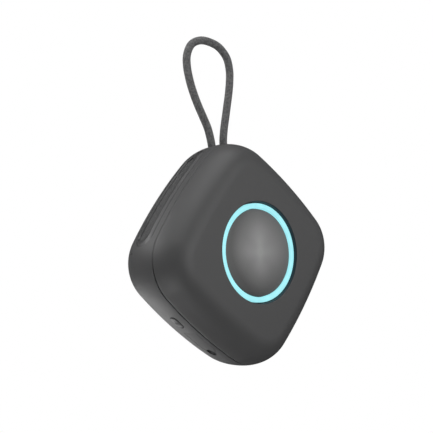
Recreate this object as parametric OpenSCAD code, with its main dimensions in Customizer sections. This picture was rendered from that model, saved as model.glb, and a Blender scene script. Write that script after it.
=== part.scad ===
// Hanging shower speaker: a pillow-shaped body that stands on one corner, with a
// round control disc in its front and a braided cord loop out of its top corner.
// Millimetres. +Z up, the front faces -Y, and +X is to the right of someone who
// looks at the front. The origin is the inside top of the cord loop, where the
// speaker hangs.

/* [Body] */
// Size of the body from corner to corner
diag = 110; // [106:1:132]
// Radius of the rounded corners
corner_r = 23.5; // [22:0.5:27]
// Radius of the gently bowed sides
side_r = 220; // [180:5:300]
// Depth from the widest plane to the front face
front_depth = 20.5; // [19.5:0.5:25]
// Depth from the widest plane to the back face
rear_depth = 24.7; // [22.5:0.1:30]
// How far the rounding eats into the front face
front_edge = 14; // [9:0.5:15]
// How far the rounding eats into the back face
rear_edge = 16; // [12:0.5:17]
// Wall thickness of both shells
wall = 2.2; // [1.9:0.1:2.4]
// Distance of the parting seam in front of the widest plane
seam = 6.8; // [5.6:0.1:7.4]
// Open width of the parting seam
seam_gap = 0.4; // [0.3:0.05:0.6]

/* [Control disc] */
// Outer diameter of the lit ring
ring_d = 47.6; // [38.8:0.2:50]
// Width of the lit ring
ring_w = 2.4; // [1.8:0.1:2.5]
// Depth of the lit ring below the front face
recess = 1.2; // [1:0.1:1.6]
// Open gap between the lit ring and the front shell
ring_gap = 0.6; // [0.4:0.1:1.2]
// Travel of the disc when it is pressed
disc_travel = 0.5; // [0.3:0.05:0.5]

/* [Sound outlets] */
// Length of each outlet along its flank
outlet_len = 60; // [44:1:60]
// Width of each outlet across its flank
outlet_w = 13.3; // [11.3:0.1:14]
// Front edge of the outlets, measured from the widest plane
outlet_front = -3.3; // [-4:0.1:-2.4]
// Depth of the outlet channel
outlet_depth = 1; // [0.8:0.1:1.2]

/* [Side controls] */
// Length of the power button
button_len = 7.8; // [7:0.2:9.6]
// Width of the power button
button_w = 4.4; // [4:0.2:5.2]
// Centre of the power button, from the middle of its flank
button_at = -8.5; // [-10:0.5:-7.5]
// Travel of the power button
button_travel = 0.4; // [0.2:0.05:0.45]
// Length of the port cover
port_len = 17; // [15:0.5:18]
// Width of the port cover
port_w = 9; // [8.5:0.25:10]
// Centre of the port cover, from the middle of its flank
port_at = 8.6; // [8.2:0.2:10]
// Thickness of the port cover
port_t = 1.6; // [1.2:0.1:1.6]

/* [Loudspeaker] */
// Outer diameter of the driver
driver_d = 40; // [36:1:41]
// Height of the driver's axis above the middle of the body
driver_z = 10; // [9:0.5:11]
// Travel of the cone each way from rest
cone_travel = 1.2; // [0.6:0.1:1.2]

/* [Battery] */
// Length of the battery pack
battery_len = 40; // [30:1:42]
// Height of the battery pack
battery_h = 18; // [14:0.5:18]

/* [Hang cord] */
// Diameter of the cord
cord_d = 4; // [3.2:0.1:4.6]

/* [Hidden] */
eps = 0.01;

// Outline of the body seen from the front: corner arcs on the axes, joined by bowed sides.
half = diag / 2;
corner_c = half - corner_r;
bow = side_r - corner_r;
side_c = (-2 * corner_c + sqrt(4 * corner_c * corner_c - 8 * (corner_c * corner_c - bow * bow))) / 4;
corner_a = atan2(side_c, corner_c + side_c);
apothem = side_r - side_c * sqrt(2);
corner_steps = 8;
side_steps = 3;

function arc_points(c, r, a0, a1, n) = [for (i = [0:n - 1]) let (a = a0 + (a1 - a0) * i / n)
    [c[0] + r * cos(a), c[1] + r * sin(a)]];
function turned(points, a) = [for (p = points)
    [p[0] * cos(a) - p[1] * sin(a), p[0] * sin(a) + p[1] * cos(a)]];
function quarter(inset) = concat(
    arc_points([corner_c, 0], corner_r - inset, -corner_a, corner_a, corner_steps),
    arc_points([-side_c, -side_c], side_r - inset, corner_a, 90 - corner_a, side_steps));
function outline(inset) = [for (k = [0:3]) for (p = turned(quarter(inset), 90 * k)) p];

// Profile of the body from the widest plane to a face: a superellipse.
profile_p = 2 / 2.2;
profile_steps = 7;
function profile(depth, edge, inset) = [for (i = [0:profile_steps]) let (t = 90 * i / profile_steps)
    [(depth - inset) * pow(sin(t), profile_p), inset + edge * (1 - pow(cos(t), profile_p))]];

// How far the surface has come in from the widest outline at depth y.
function inset_at(y) = let (front = y < 0, depth = front ? front_depth : rear_depth,
    edge = front ? front_edge : rear_edge, s = pow(min(abs(y) / depth, 1), 1 / profile_p))
    edge * (1 - pow(sqrt(1 - s * s), profile_p));
// How far a flank has fallen back from its middle at a distance t along it.
function bow_at(t) = side_r - sqrt(side_r * side_r - t * t);

// Depth levels, y.
face_y = -front_depth;
inner_face_y = face_y + wall;
seam_front_y = -seam - seam_gap / 2;
seam_rear_y = -seam + seam_gap / 2;
back_y = rear_depth;
inner_back_y = back_y - wall;

// Control stack, front to back.
ring_r = ring_d / 2;
opening_r = ring_r + ring_gap;
ring_in_r = ring_r - ring_w;
slide_gap = 0.3;
disc_r = ring_in_r - slide_gap;
ring_y = face_y + recess;
bead = 0.6;
disc_y = ring_y + 0.2;
disc_crown = 0.5;
seat_y = ring_y + 2.4;
seat_t = 1.2;
seat_rim_r = opening_r + 3.1;
disc_t = seat_y - disc_y - disc_travel - 0.1;
skirt_r = disc_r - 1.4;
plunger_y = seat_y + seat_t + 0.25;
plunger_ring = 11;
board_t = 1;
board_y = seat_y + seat_t + 2.2;
board_r = opening_r + 0.2;
key_y = plunger_y + disc_travel + 0.05;
switch_h = 0.7;
led_count = 12;

// Loudspeaker levels.
baffle_y = 1;
baffle_t = 2;
baffle_fit = 0.3;
driver_y = baffle_y + baffle_t;
driver_r = driver_d / 2;
rim_w = 2.4;
basket_t = 0.6;
neck_r = driver_r - rim_w - 0.2;
driver_hole_r = driver_r - rim_w + 0.1;
gasket_t = 0.6;
flange_t = 1;
flange_y = driver_y + gasket_t;
cone_r = driver_r - 6;
coil_r = 4.6;
coil_t = 0.4;
coil_gap = 0.3;
coil_len = 5.6;
pole_r = coil_r - coil_t - coil_gap;
plate_y = flange_y - 9.8;
plate_t = 1.5;
magnet_t = 3;
yoke_t = 1.5;
magnet_r = 10.5;
coil_y = plate_y - magnet_t + cone_travel + 0.8;
coil_top_y = coil_y + coil_len;
cone_t = 0.4;
cone_in_r = coil_r - 0.35;
cone_out_y = flange_y - 0.2;
cone_slope = (cone_out_y - coil_top_y) / (cone_r - cone_in_r);
basket_back_r = magnet_r + 0.7;
basket_neck_y = flange_y - 2.1;
basket_back_y = plate_y + plate_t + 0.8;
basket_slope = (neck_r - basket_back_r) / (basket_neck_y - basket_back_y);
driver_screw_r = 0.72;
driver_screw_fit = 0.13;

// Case screws on the four arms of the body.
column_r = 3;
column_at = 36;
head_y = 6;
head_r = 2;
head_t = 1.4;
screw_r = 0.9;
screw_tip_y = -6.5;
pad_inset = rear_edge + 1;
pad_depth = 0.9;
pad_proud = 0.3;

// Side stack, along the outward normal of the lower left flank.
wall_n = apothem - wall;
button_gap = 0.15;
button_proud = 0.4;
button_y = 0.8;
button_stop_n = wall_n - bow_at(abs(button_at) + button_len / 2 + 2)
    - inset_at(button_y + button_w / 2 + 2) - 0.05;
bay_t0 = button_at - button_len / 2 - 2.5;
bay_t1 = port_at + 10;
button_rim = 0.8;
seal_in = button_rim + 0.3;
seal_out = seal_in + 0.7;
board_n = apothem - 10;
side_board_t = 1.2;
switch_box = 2;
switch_tip = 0.6;
stem_n = board_n + side_board_t + switch_box + switch_tip + button_travel + 0.1;
stem_r = 1.5;
socket_len = 9;
socket_w = 3.3;
socket_wall = 0.3;
mouth_n = apothem - 2.8;
tongue_t = 0.7;
pocket_gap = 0.15;
hinge_r = (port_t - 0.2) / 2;
hinge_t = port_at - port_len / 2 + hinge_r;
hinge_n = apothem - port_t / 2;
plug_len = 10.4;
plug_w = 4.6;
notch_r = 3.1;
notch_t = port_at + port_len / 2 + 0.2;
notch_n = apothem + 0.9;
notch_y = 1.2;

// Outlet windows behind the trims.
outlet_y = outlet_front + outlet_w / 2;
trim_gap = 0.12;
mesh_len = outlet_len - 8;
mesh_w = outlet_w - 7.3;
mesh_y = outlet_front + outlet_w - 1 - mesh_w / 2;
mesh_t = 0.4;

// Battery and main board, stacked in front of the baffle.
battery_x = 3;
battery_z = -23.5;
battery_t = 6;
battery_y = baffle_y - 0.8;
main_y = battery_y - battery_t - 2.6;
main_t = 1;
boss_r = 1.8;

// Pin hole of the microphone, in the left corner.
mic_y = 12.2;
mic_z = 7.3;
mic_back = 7.2;
mic_hole_r = 0.6;

// Cord exits and anchor.
leg_x = 3.9;
leg_y = 1;
bush_r = cord_d / 2 + 1.45;
bush_top = half - 1;
bar_z = half - 8;
bar_t = 1.2;
block_z = bar_z + bar_t;
bush_floor_z = block_z + 2;
block_w = 19;
block_d = 10;
knot_r = 3;
knot_cut = 0.6;
cord_hole_r = cord_d / 2 + 0.1;

// Route of the cord's middle line, from its first knot to its second, as [x, y, z],
// with z counted from the tip of the body's top corner.
cord_route = [
    [-3.9, 1, -8.6], [-3.9, 1, -3], [-3.9, 1, 1.8], [-4.9, 1, 8.4], [-7, 1, 14.2],
    [-9.3, 1, 20], [-11.3, 1, 26.3], [-12.6, 1, 32.3], [-13.2, 1, 39.2], [-12.2, 1, 45.2],
    [-8.5, 1, 50.5], [-2.4, 1, 52.8], [3.9, 1, 52.2], [9.6, 1, 49.8], [13.8, 1, 44.7],
    [14.7, 1, 38.3], [13.7, 1, 32.1], [12, 1, 26.1], [9.8, 1, 19.7], [7.8, 1, 14],
    [5.6, 1, 7.6], [4.1, 1, 1.5], [3.9, 1, -3], [3.9, 1, -8.6]];
loop_top = 52.8;
hang_h = half + loop_top - cord_d / 2;
cord_sides = 8;
cord_substeps = 3;

// Smooth curve through the route, one span at a time.
function span(p0, p1, p2, p3, u) = 0.5 * ((2 * p1) + (p2 - p0) * u + (2 * p0 - 5 * p1 + 4 * p2 - p3) * u * u
    + (3 * p1 - p0 - 3 * p2 + p3) * u * u * u);
cord_last = len(cord_route) - 1;
function route_at(i) = cord_route[max(0, min(cord_last, i))];
cord_path = concat([for (i = [0:cord_last - 1]) for (k = [0:cord_substeps - 1])
    span(route_at(i - 1), route_at(i), route_at(i + 1), route_at(i + 2), k / cord_substeps)],
    [cord_route[cord_last]]);
function unit(v) = v / norm(v);

soft_black = [0.22, 0.22, 0.23];
dark = [0.12, 0.12, 0.13];
rubber = [0.16, 0.16, 0.17];
lit = [0.55, 0.95, 1];
steel = [0.7, 0.7, 0.72];
board_green = [0.08, 0.3, 0.16];

// Places its children in the frame of the body's centre.
module at_body() { translate([0, 0, -hang_h]) children(); }

// Turns a profile drawn as [radius, y] into a solid of revolution round the y axis.
module revolve(points, fn = 96) {
    rotate([-90, 0, 0]) rotate_extrude($fn = fn) polygon([for (p = points) [p[0], p[1]]]);
}

// A disc or a ring between two depths.
module disc(r, y0, y1, fn = 96) {
    translate([0, y0, 0]) rotate([-90, 0, 0]) cylinder(r = r, h = y1 - y0, $fn = fn);
}
module annulus(r0, r1, y0, y1, fn = 96) {
    difference() {
        disc(r1, y0, y1, fn);
        disc(r0, y0 - eps, y1 + eps, fn);
    }
}

// A flat plate that follows the outline of the body, between two depths.
module plate(inset, y0, y1) {
    translate([0, y1, 0]) rotate([90, 0, 0]) linear_extrude(y1 - y0) polygon(outline(inset));
}

// The whole pillow, its surface moved in by an inset.
module pillow(inset) {
    front = profile(front_depth, front_edge, inset);
    back = profile(rear_depth, rear_edge, inset);
    rings = concat([for (i = [profile_steps:-1:1]) [-front[i][0], front[i][1]]], back);
    count = len(rings);
    n = len(outline(inset));
    polyhedron(
        points = [for (g = rings) for (p = outline(g[1])) [p[0], g[0], p[1]]],
        faces = concat(
            [[for (i = [n - 1:-1:0]) i]],
            [for (k = [0:count - 2]) for (i = [0:n - 1])
                [k * n + i, k * n + (i + 1) % n, (k + 1) * n + (i + 1) % n, (k + 1) * n + i]],
            [[for (i = [0:n - 1]) (count - 1) * n + i]]));
}

// Half space in front of or behind a depth.
module ahead_of(y) { translate([-diag, y - 2 * diag, -diag]) cube([2 * diag, 2 * diag, 2 * diag]); }
module behind(y) { translate([-diag, y, -diag]) cube([2 * diag, 2 * diag, 2 * diag]); }

// Frame of a flank: X points out of the flank, Z along it, Y stays the depth.
module at_flank(a) { rotate([0, -a, 0]) children(); }

// A round-ended bar that stands on a flank: centre and size along the flank and in depth.
module stadium(len, w, fn = 48) {
    square([w, len - w], center = true);
    for (s = [-1, 1]) translate([0, s * (len - w) / 2]) circle(r = w / 2, $fn = fn);
}
module flank_bar(t, y, len, w, n0, n1, fn = 48) {
    translate([n0, y, t]) rotate([90, 0, 90]) linear_extrude(n1 - n0) stadium(len, w, fn);
}

// A bar with one square end, where a cover hinges, and one round end.
module cover_bar(t, len, w, n0, n1) {
    translate([n0, 0, t]) rotate([90, 0, 90]) linear_extrude(n1 - n0) {
        translate([-w / 2, -len / 2]) square([w, len - w / 2]);
        translate([0, (len - w) / 2]) circle(r = w / 2, $fn = 48);
    }
}

// The part of its children that lies between two insets of the pillow.
module skin(inset0, inset1) {
    intersection() {
        difference() {
            pillow(inset0);
            pillow(inset1);
        }
        children();
    }
}

module on_arms(r) { for (k = [0:3]) rotate([0, 90 * k, 0]) translate([r, 0, 0]) children(); }

// ---------------------------------------------------------------- casing
module front_shell() {
    color(soft_black) at_body() difference() {
        union() {
            difference() {
                intersection() {
                    pillow(0);
                    ahead_of(seam_front_y);
                }
                pillow(wall);
            }
            on_arms(column_at) disc(column_r, inner_face_y - 0.4, baffle_y, 32);
        }
        disc(opening_r, face_y - 1, inner_face_y + 1);
        on_arms(column_at) disc(screw_r + 0.02, screw_tip_y - 1.5, baffle_y + eps, 24);
    }
}

module rear_shell() {
    color(soft_black) at_body() difference() {
        union() {
            difference() {
                intersection() {
                    pillow(0);
                    behind(seam_rear_y);
                }
                pillow(wall);
            }
            on_arms(column_at) disc(column_r + 0.3, driver_y, inner_back_y + 0.4, 32);
            cord_block();
        }
        on_arms(column_at) {
            disc(head_r + 0.3, head_y, back_y + 1, 32);
            disc(screw_r + 0.25, driver_y - eps, head_y + 1, 24);
        }
        plate(pad_inset, back_y - pad_depth, back_y + 1);
        for (a = [45, 135]) outlet_window(a);
        for (a = [45, 135]) outlet_channel(a);
        side_cuts();
        for (s = [-1, 1]) translate([s * leg_x, leg_y, 0]) {
            translate([0, 0, bush_floor_z]) cylinder(r = bush_r, h = 10, $fn = 32);
            translate([0, 0, block_z - 1]) cylinder(r = cord_hole_r, h = 10, $fn = 24);
        }
        microphone_hole();
    }
}

// Solid corner that the bushes sit in and the cord bar pulls up against.
module cord_block() {
    intersection() {
        translate([-block_w / 2, leg_y - block_d / 2, block_z]) cube([block_w, block_d, 10]);
        pillow(wall / 2);
    }
}

// Channel for a trim strip on a flank.
module outlet_channel(a) {
    difference() {
        at_flank(a) flank_bar(0, outlet_y, outlet_len, outlet_w, apothem - 8, apothem + 4);
        pillow(outlet_depth);
    }
}
// Window that the mesh of an outlet covers.
module outlet_window(a) {
    at_flank(a) flank_bar(0, mesh_y, mesh_len, mesh_w, apothem - 12, apothem + 4);
}

module side_cuts() {
    at_flank(225) {
        flank_bar(button_at, button_y, button_len + 2 * button_gap, button_w + 2 * button_gap,
            apothem - 6, apothem + 4);
        flank_bar(port_at, 0, plug_len + 0.8, plug_w + 0.6, apothem - 8, apothem + 4);
        finger_notch();
    }
    difference() {
        at_flank(225) cover_bar(port_at, port_len + 2 * pocket_gap, port_w + 2 * pocket_gap,
            apothem - 8, apothem + 4);
        pillow(port_t);
    }
}

// Scoop at the free end of the port cover.
module finger_notch() { translate([notch_n, notch_y, notch_t]) sphere(r = notch_r, $fn = 32); }

module microphone_hole() {
    translate([-half - 1, mic_y, mic_z]) rotate([0, 90, 0]) cylinder(r = mic_hole_r, h = 8, $fn = 16);
}

module main_gasket() {
    color(dark) at_body() difference() {
        plate(inset_at(-seam) + 0.6, seam_front_y, seam_rear_y);
        plate(inset_at(-seam) + wall - 0.1, seam_front_y - 1, seam_rear_y + 1);
    }
}

module rear_pad() {
    color(rubber) at_body() plate(pad_inset + 0.15, back_y - pad_depth, back_y + pad_proud);
}

module case_screws() {
    color(steel) at_body() on_arms(column_at) difference() {
        union() {
            disc(head_r, head_y, head_y + head_t, 24);
            disc(screw_r, screw_tip_y, head_y + eps, 24);
        }
        disc(0.8, head_y + 0.5, head_y + head_t + eps, 6);
    }
}

// ---------------------------------------------------------------- control disc
// Dark seat behind the front shell that holds the lit ring and guides the disc.
module ring_seat() {
    color(dark) at_body() difference() {
        revolve([[skirt_r + slide_gap, seat_y], [opening_r + 0.2, seat_y], [opening_r + 0.2, inner_face_y],
            [seat_rim_r, inner_face_y], [seat_rim_r, seat_y + seat_t], [board_r, seat_y + seat_t],
            [board_r, board_y], [board_r - 0.9, board_y], [board_r - 0.9, seat_y + seat_t],
            [skirt_r + slide_gap, seat_y + seat_t]]);
        for (k = [0:led_count - 1]) rotate([0, 360 * (k + 0.5) / led_count, 0])
            translate([ring_r - ring_w / 2, 0, 0]) disc(0.7, seat_y - 1, seat_y + seat_t + 1, 16);
    }
}

// Translucent light guide with a rounded front bead.
module light_ring() {
    mid_r = ring_r - ring_w / 2;
    color(lit) at_body() revolve(concat([[ring_in_r, seat_y]],
        [for (i = [0:8]) let (a = 180 * i / 8) [mid_r - ring_w / 2 * cos(a), ring_y + bead - bead * sin(a)]],
        [[ring_r, seat_y]]));
}

// Round press cap: crowned front, guiding skirt and four plungers with one in the middle.
module control_disc() {
    color(soft_black) at_body() union() {
        revolve(concat([[0, disc_y + disc_t], [disc_r, disc_y + disc_t], [disc_r, disc_y + 0.3]],
            [for (i = [0:6]) let (u = 1 - i / 6) [u * (disc_r - 0.3), disc_y - disc_crown * (1 - u * u)]]));
        annulus(skirt_r - 1.2, skirt_r, disc_y + disc_t - eps, seat_y + seat_t - disc_travel);
        on_switches() disc(1.6, disc_y + disc_t - eps, plunger_y, 24);
    }
}

module on_switches() {
    children();
    for (k = [0:3]) rotate([0, 45 + 90 * k, 0]) translate([plunger_ring, 0, 0]) children();
}

// Silicone mat over the switches, with a raised button above each one.
module keypad() {
    mat_r = plunger_ring + 5;
    mat_t = 0.5;
    color(rubber) at_body() {
        disc(mat_r, board_y - switch_h - mat_t, board_y - switch_h, 64);
        on_switches() disc(2.2, key_y, board_y - switch_h - mat_t + eps, 24);
        annulus(mat_r - 1.5, mat_r, board_y - switch_h - eps, board_y, 64);
    }
}

module control_board() {
    color(board_green) at_body() difference() {
        disc(board_r, board_y, board_y + board_t);
        for (s = [-1, 1])
            translate([0, 0, s * (board_r - 3)]) disc(1.1, board_y - 1, board_y + board_t + 1, 16);
    }
}

module ring_leds() {
    color([0.95, 0.95, 0.9]) at_body() for (k = [0:led_count - 1]) rotate([0, 360 * (k + 0.5) / led_count, 0])
        translate([ring_r - ring_w / 2 - 0.8, board_y - 0.7, -0.8]) cube([1.6, 0.7, 1.6]);
}

module disc_switches() {
    color(steel) at_body() on_switches()
        translate([-1.7, board_y - switch_h, -1.7]) cube([3.4, switch_h, 3.4]);
}

// ---------------------------------------------------------------- sound outlets
module outlet_trim(a) {
    color(soft_black) at_body() difference() {
        skin(0.25, outlet_depth) at_flank(a) flank_bar(0, outlet_y, outlet_len - 2 * trim_gap,
            outlet_w - 2 * trim_gap, apothem - 8, apothem + 2);
        outlet_window(a);
    }
}
module outlet_trim_left() { outlet_trim(135); }
module outlet_trim_right() { outlet_trim(45); }

// Fine mesh across the window, in the thickness of the shell's wall.
module outlet_mesh(a) {
    color(dark) at_body() skin(outlet_depth + 0.1, outlet_depth + 0.1 + mesh_t) at_flank(a)
        flank_bar(0, mesh_y, mesh_len - 2 * trim_gap, mesh_w - 2 * trim_gap, apothem - 8, apothem + 2);
}
module outlet_mesh_left() { outlet_mesh(135); }
module outlet_mesh_right() { outlet_mesh(45); }

// ---------------------------------------------------------------- side controls
module power_button() {
    top_n = apothem - bow_at(button_at) + button_proud;
    color(soft_black) at_body() at_flank(225) union() {
        flank_bar(button_at, button_y, button_len, button_w, button_stop_n - eps, top_n);
        flank_bar(button_at, button_y, button_len + 2 * button_rim, button_w + 2 * button_rim,
            button_stop_n - button_rim, button_stop_n);
        translate([stem_n, button_y, button_at]) rotate([0, 90, 0])
            cylinder(r = stem_r, h = button_stop_n - button_rim - stem_n + eps, $fn = 24);
    }
}

module button_seal() {
    color(rubber) at_body() at_flank(225) difference() {
        flank_bar(button_at, button_y, button_len + 2 * seal_out, button_w + 2 * seal_out,
            button_stop_n - 1.4, button_stop_n - 0.05);
        flank_bar(button_at, button_y, button_len + 2 * seal_in, button_w + 2 * seal_in,
            button_stop_n - 2, button_stop_n + 1);
    }
}

module power_switch() {
    color(steel) at_body() at_flank(225) union() {
        translate([board_n + side_board_t, button_y - 2, button_at - 2]) cube([switch_box, 4, 4]);
        translate([board_n + side_board_t + switch_box - eps, button_y, button_at]) rotate([0, 90, 0])
            cylinder(r = 1, h = switch_tip, $fn = 24);
    }
}

module side_board() {
    color(board_green) at_body() at_flank(225)
        translate([board_n, -4.5, button_at - 4]) cube([side_board_t, 9, port_at + 8 - button_at + 4]);
}

// Charging socket: a rounded tube with a tongue, its mouth behind the window.
module charge_socket() {
    color(steel) at_body() at_flank(225) union() {
        difference() {
            flank_bar(port_at, 0, socket_len, socket_w, board_n + side_board_t, mouth_n);
            flank_bar(port_at, 0, socket_len - 2 * socket_wall, socket_w - 2 * socket_wall,
                board_n + side_board_t + 1, mouth_n + 1);
        }
        translate([board_n + side_board_t + 1 - eps, -tongue_t / 2, port_at - 3.2])
            cube([mouth_n - board_n - 3.2, tongue_t, 6.4]);
    }
}

// Rubber cover that follows the flank, with its plug and the round bead it hinges on.
module port_cover() {
    color(rubber) at_body() difference() {
        union() {
            skin(0.05, port_t - 0.05) at_flank(225) intersection() {
                cover_bar(port_at, port_len, port_w, apothem - 8, apothem + 2);
                translate([apothem - 9, -port_w, hinge_t]) cube([12, 2 * port_w, port_len]);
            }
            at_flank(225) {
                flank_bar(port_at + 0.3, 0, plug_len, plug_w, apothem - 2.6, apothem - 1);
                translate([hinge_n, port_w / 2 - 1.2, hinge_t]) rotate([90, 0, 0])
                    cylinder(r = hinge_r, h = port_w - 2.4, $fn = 32);
            }
        }
        at_flank(225) finger_notch();
    }
}

// ---------------------------------------------------------------- loudspeaker
module at_driver() { translate([0, 0, driver_z]) children(); }

module baffle() {
    color(dark) at_body() difference() {
        union() {
            plate(wall + baffle_fit, baffle_y, driver_y);
            on_board_screws() disc(boss_r, main_y + main_t, baffle_y + eps, 32);
        }
        at_driver() disc(driver_hole_r, baffle_y - 1, driver_y + 1);
        on_arms(column_at) disc(screw_r + 0.4, baffle_y - 1, driver_y + 1, 24);
        translate([-11, baffle_y - 1, bar_z - 2 * knot_r - 0.8]) cube([22, baffle_t + 2, 20]);
        on_board_screws() disc(screw_r + 0.02, main_y, driver_y + 1, 24);
        at_driver() on_driver_screws() disc(driver_screw_r + 0.03, baffle_y - 1, driver_y + 1, 16);
        at_flank(225) translate([board_n - 1.2, baffle_y - 1, bay_t0])
            cube([12, baffle_t + 2, bay_t1 - bay_t0]);
    }
}

module on_driver_screws() {
    for (k = [0:3]) rotate([0, 45 + 90 * k, 0]) translate([driver_r - 1.2, 0, 0]) children();
}

module driver_gasket() {
    color(dark) at_body() at_driver() difference() {
        annulus(driver_hole_r, driver_r, driver_y, flange_y);
        on_driver_screws() disc(driver_screw_r + driver_screw_fit, driver_y - 1, flange_y + 1, 16);
    }
}

// Pressed steel basket: flange, slanted wall and the ring the magnet is fixed to.
module driver_basket() {
    color(steel) at_body() at_driver() difference() {
        revolve([[neck_r, flange_y], [neck_r, basket_neck_y], [basket_back_r, basket_back_y],
            [basket_back_r, plate_y + plate_t], [6.5, plate_y + plate_t], [6.5, basket_back_y],
            [basket_back_r - 0.8, basket_back_y], [basket_back_r - 0.8, basket_back_y + 0.8],
            [neck_r - basket_t, basket_neck_y + 0.5], [neck_r - basket_t, flange_y + flange_t],
            [driver_r, flange_y + flange_t], [driver_r, flange_y]]);
        on_driver_screws() disc(driver_screw_r + driver_screw_fit, flange_y - 1, flange_y + flange_t + 1, 16);
    }
}

module driver_screws() {
    color(steel) at_body() at_driver() on_driver_screws() {
        disc(1.15, flange_y + flange_t, flange_y + flange_t + 0.6, 16);
        disc(driver_screw_r, baffle_y + 0.1, flange_y + flange_t + eps, 16);
    }
}

module top_plate() {
    color(steel) at_body() at_driver() annulus(coil_r + coil_gap, magnet_r - 0.6, plate_y, plate_y + plate_t);
}

module magnet() {
    color(dark) at_body() at_driver() annulus(coil_r + 1.2, magnet_r, plate_y - magnet_t, plate_y);
}

module yoke() {
    color(steel) at_body() at_driver() union() {
        disc(magnet_r - 0.3, plate_y - magnet_t - yoke_t, plate_y - magnet_t);
        disc(pole_r, plate_y - magnet_t - eps, plate_y + plate_t, 64);
    }
}

module voice_coil() {
    color([0.75, 0.4, 0.2]) at_body() at_driver()
        annulus(coil_r - coil_t, coil_r, coil_y, coil_top_y, 64);
}

// Corrugated ring that centres the coil.
module spider() {
    spider_y = plate_y + plate_t + 2;
    in_r = coil_r + 0.02;
    out_r = magnet_r - 0.12;
    waves = 3;
    steps = 24;
    function ripple(i) = 0.45 * sin(360 * waves * i / steps);
    color([0.8, 0.7, 0.3]) at_body() at_driver() revolve(concat(
        [for (i = [0:steps]) [in_r + (out_r - in_r) * i / steps, spider_y + ripple(i)]],
        [for (i = [steps:-1:0]) [in_r + (out_r - in_r) * i / steps, spider_y + ripple(i) + 0.25]]), 64);
}

module cone() {
    color([0.25, 0.25, 0.26]) at_body() at_driver() revolve([
        [cone_in_r, coil_top_y], [coil_r + 0.3, coil_top_y],
        [cone_r, cone_out_y], [cone_r, cone_out_y + cone_t], [cone_in_r, coil_top_y + cone_t]]);
}

// Rubber half roll from the cone's edge to the flange.
module surround() {
    in_r = cone_r + 0.02;
    out_r = neck_r - basket_t - 0.02;
    mid_r = (in_r + out_r) / 2;
    roll_r = (out_r - in_r) / 2;
    skin = 0.35;
    base_y = cone_out_y;
    color(rubber) at_body() at_driver() revolve(concat(
        [for (i = [0:10]) let (a = 180 * i / 10) [mid_r - roll_r * cos(a), base_y + roll_r * sin(a)]],
        [for (i = [10:-1:0]) let (a = 180 * i / 10)
            [mid_r - (roll_r - skin) * cos(a), base_y + (roll_r - skin) * sin(a)]]), 64);
}

module dust_cap() {
    cap_r = coil_r + 1.6;
    base_y = coil_top_y + cone_t + (cap_r - cone_in_r) * cone_slope + 0.08;
    rise = 1.6;
    color(dark) at_body() at_driver() revolve(concat(
        [for (i = [0:6]) let (u = 1 - i / 6) [cap_r * u, base_y + rise * (1 - u * u)]],
        [for (i = [0:6]) let (u = i / 6)
            [cap_r * u - (i == 6 ? 0.01 : 0), base_y + rise * (1 - u * u) + 0.3]]), 64);
}

// ---------------------------------------------------------------- electronics
module battery() {
    color([0.75, 0.76, 0.78]) at_body() translate([battery_x, battery_y, battery_z]) rotate([90, 0, 0])
        linear_extrude(battery_t) union() {
            square([battery_len, battery_h - 2], center = true);
            square([battery_len - 2, battery_h], center = true);
            for (s = [-1, 1], u = [-1, 1])
                translate([s * (battery_len / 2 - 1), u * (battery_h / 2 - 1)]) circle(r = 1, $fn = 24);
        }
}

module battery_pad() {
    color(dark) at_body()
        translate([battery_x - battery_len / 2 + 3, battery_y, battery_z - battery_h / 2 + 3])
        cube([battery_len - 6, baffle_y - battery_y, battery_h - 6]);
}

module main_board() {
    color(board_green) at_body() difference() {
        translate([battery_x - 19, main_y, battery_z - 8]) cube([38, main_t, 21]);
        on_board_screws() disc(1.1, main_y - 1, main_y + main_t + 1, 16);
    }
}

module on_board_screws() {
    for (s = [-1, 1]) translate([battery_x + s * 16.5, 0, battery_z + battery_h / 2 + 2.3]) children();
}

module board_screws() {
    color(steel) at_body() on_board_screws() {
        disc(boss_r, main_y - 1, main_y, 20);
        disc(screw_r, main_y - eps, main_y + main_t + 4, 20);
    }
}

// Wireless module, amplifier, charger and two inductors.
module board_chips() {
    color(dark) at_body() for (c = [[-9, -3, 9, 9, 1.2], [2.5, -3, 6, 6, 1], [9.5, -4, 4, 4, 0.9],
            [2.5, 3.6, 4, 4, 1.1], [9.5, 2.5, 5, 5, 1.1]])
        translate([battery_x + c[0] - c[2] / 2, main_y - c[4], battery_z + c[1] - c[3] / 2])
            cube([c[2], c[4], c[3]]);
}

module battery_plug() {
    color([0.9, 0.88, 0.8]) at_body()
        translate([battery_x - 2, main_y + main_t, battery_z + 3.5]) cube([6, 1.5, 4]);
}

// A thin round wire through a few points.
module wire(points, r = 0.4) {
    for (i = [0:len(points) - 2]) {
        d = points[i + 1] - points[i];
        translate(points[i]) rotate([0, acos(d[2] / norm(d)), atan2(d[1], d[0])])
            cylinder(r = r, h = norm(d), $fn = 16);
    }
    for (i = [1:len(points) - 2]) translate(points[i]) sphere(r = r, $fn = 16);
}

module battery_leads() {
    y = main_y + main_t + 0.75;
    top_z = battery_z + battery_h / 2 + 2.5;
    for (s = [0, 1]) color(s == 0 ? [0.8, 0.1, 0.1] : dark) at_body() {
        x = battery_x + 13 - 1.2 * s;
        z = battery_z + 4.6 + 1.6 * s;
        wire([[battery_x + 4.5, y, z], [x, y, z], [x, y, top_z], [x, y + 3.5, top_z],
            [x, y + 3.5, battery_z + battery_h / 2 + 0.3]]);
    }
}

module speaker_leads() {
    lead_r = 0.4;
    end_y = -2;
    end_r = basket_back_r + basket_slope * (end_y - basket_back_y) + lead_r + 0.1;
    for (s = [0, 1]) color(s == 0 ? [0.8, 0.1, 0.1] : dark) at_body() {
        x = battery_x - 12 - 1.4 * s;
        y = main_y + main_t + lead_r;
        wire([[x, y, battery_z + 7], [x, y, battery_z + 11], [x, end_y, battery_z + 11],
            [x, end_y, driver_z - sqrt(end_r * end_r - x * x)]], lead_r);
    }
}

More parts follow.
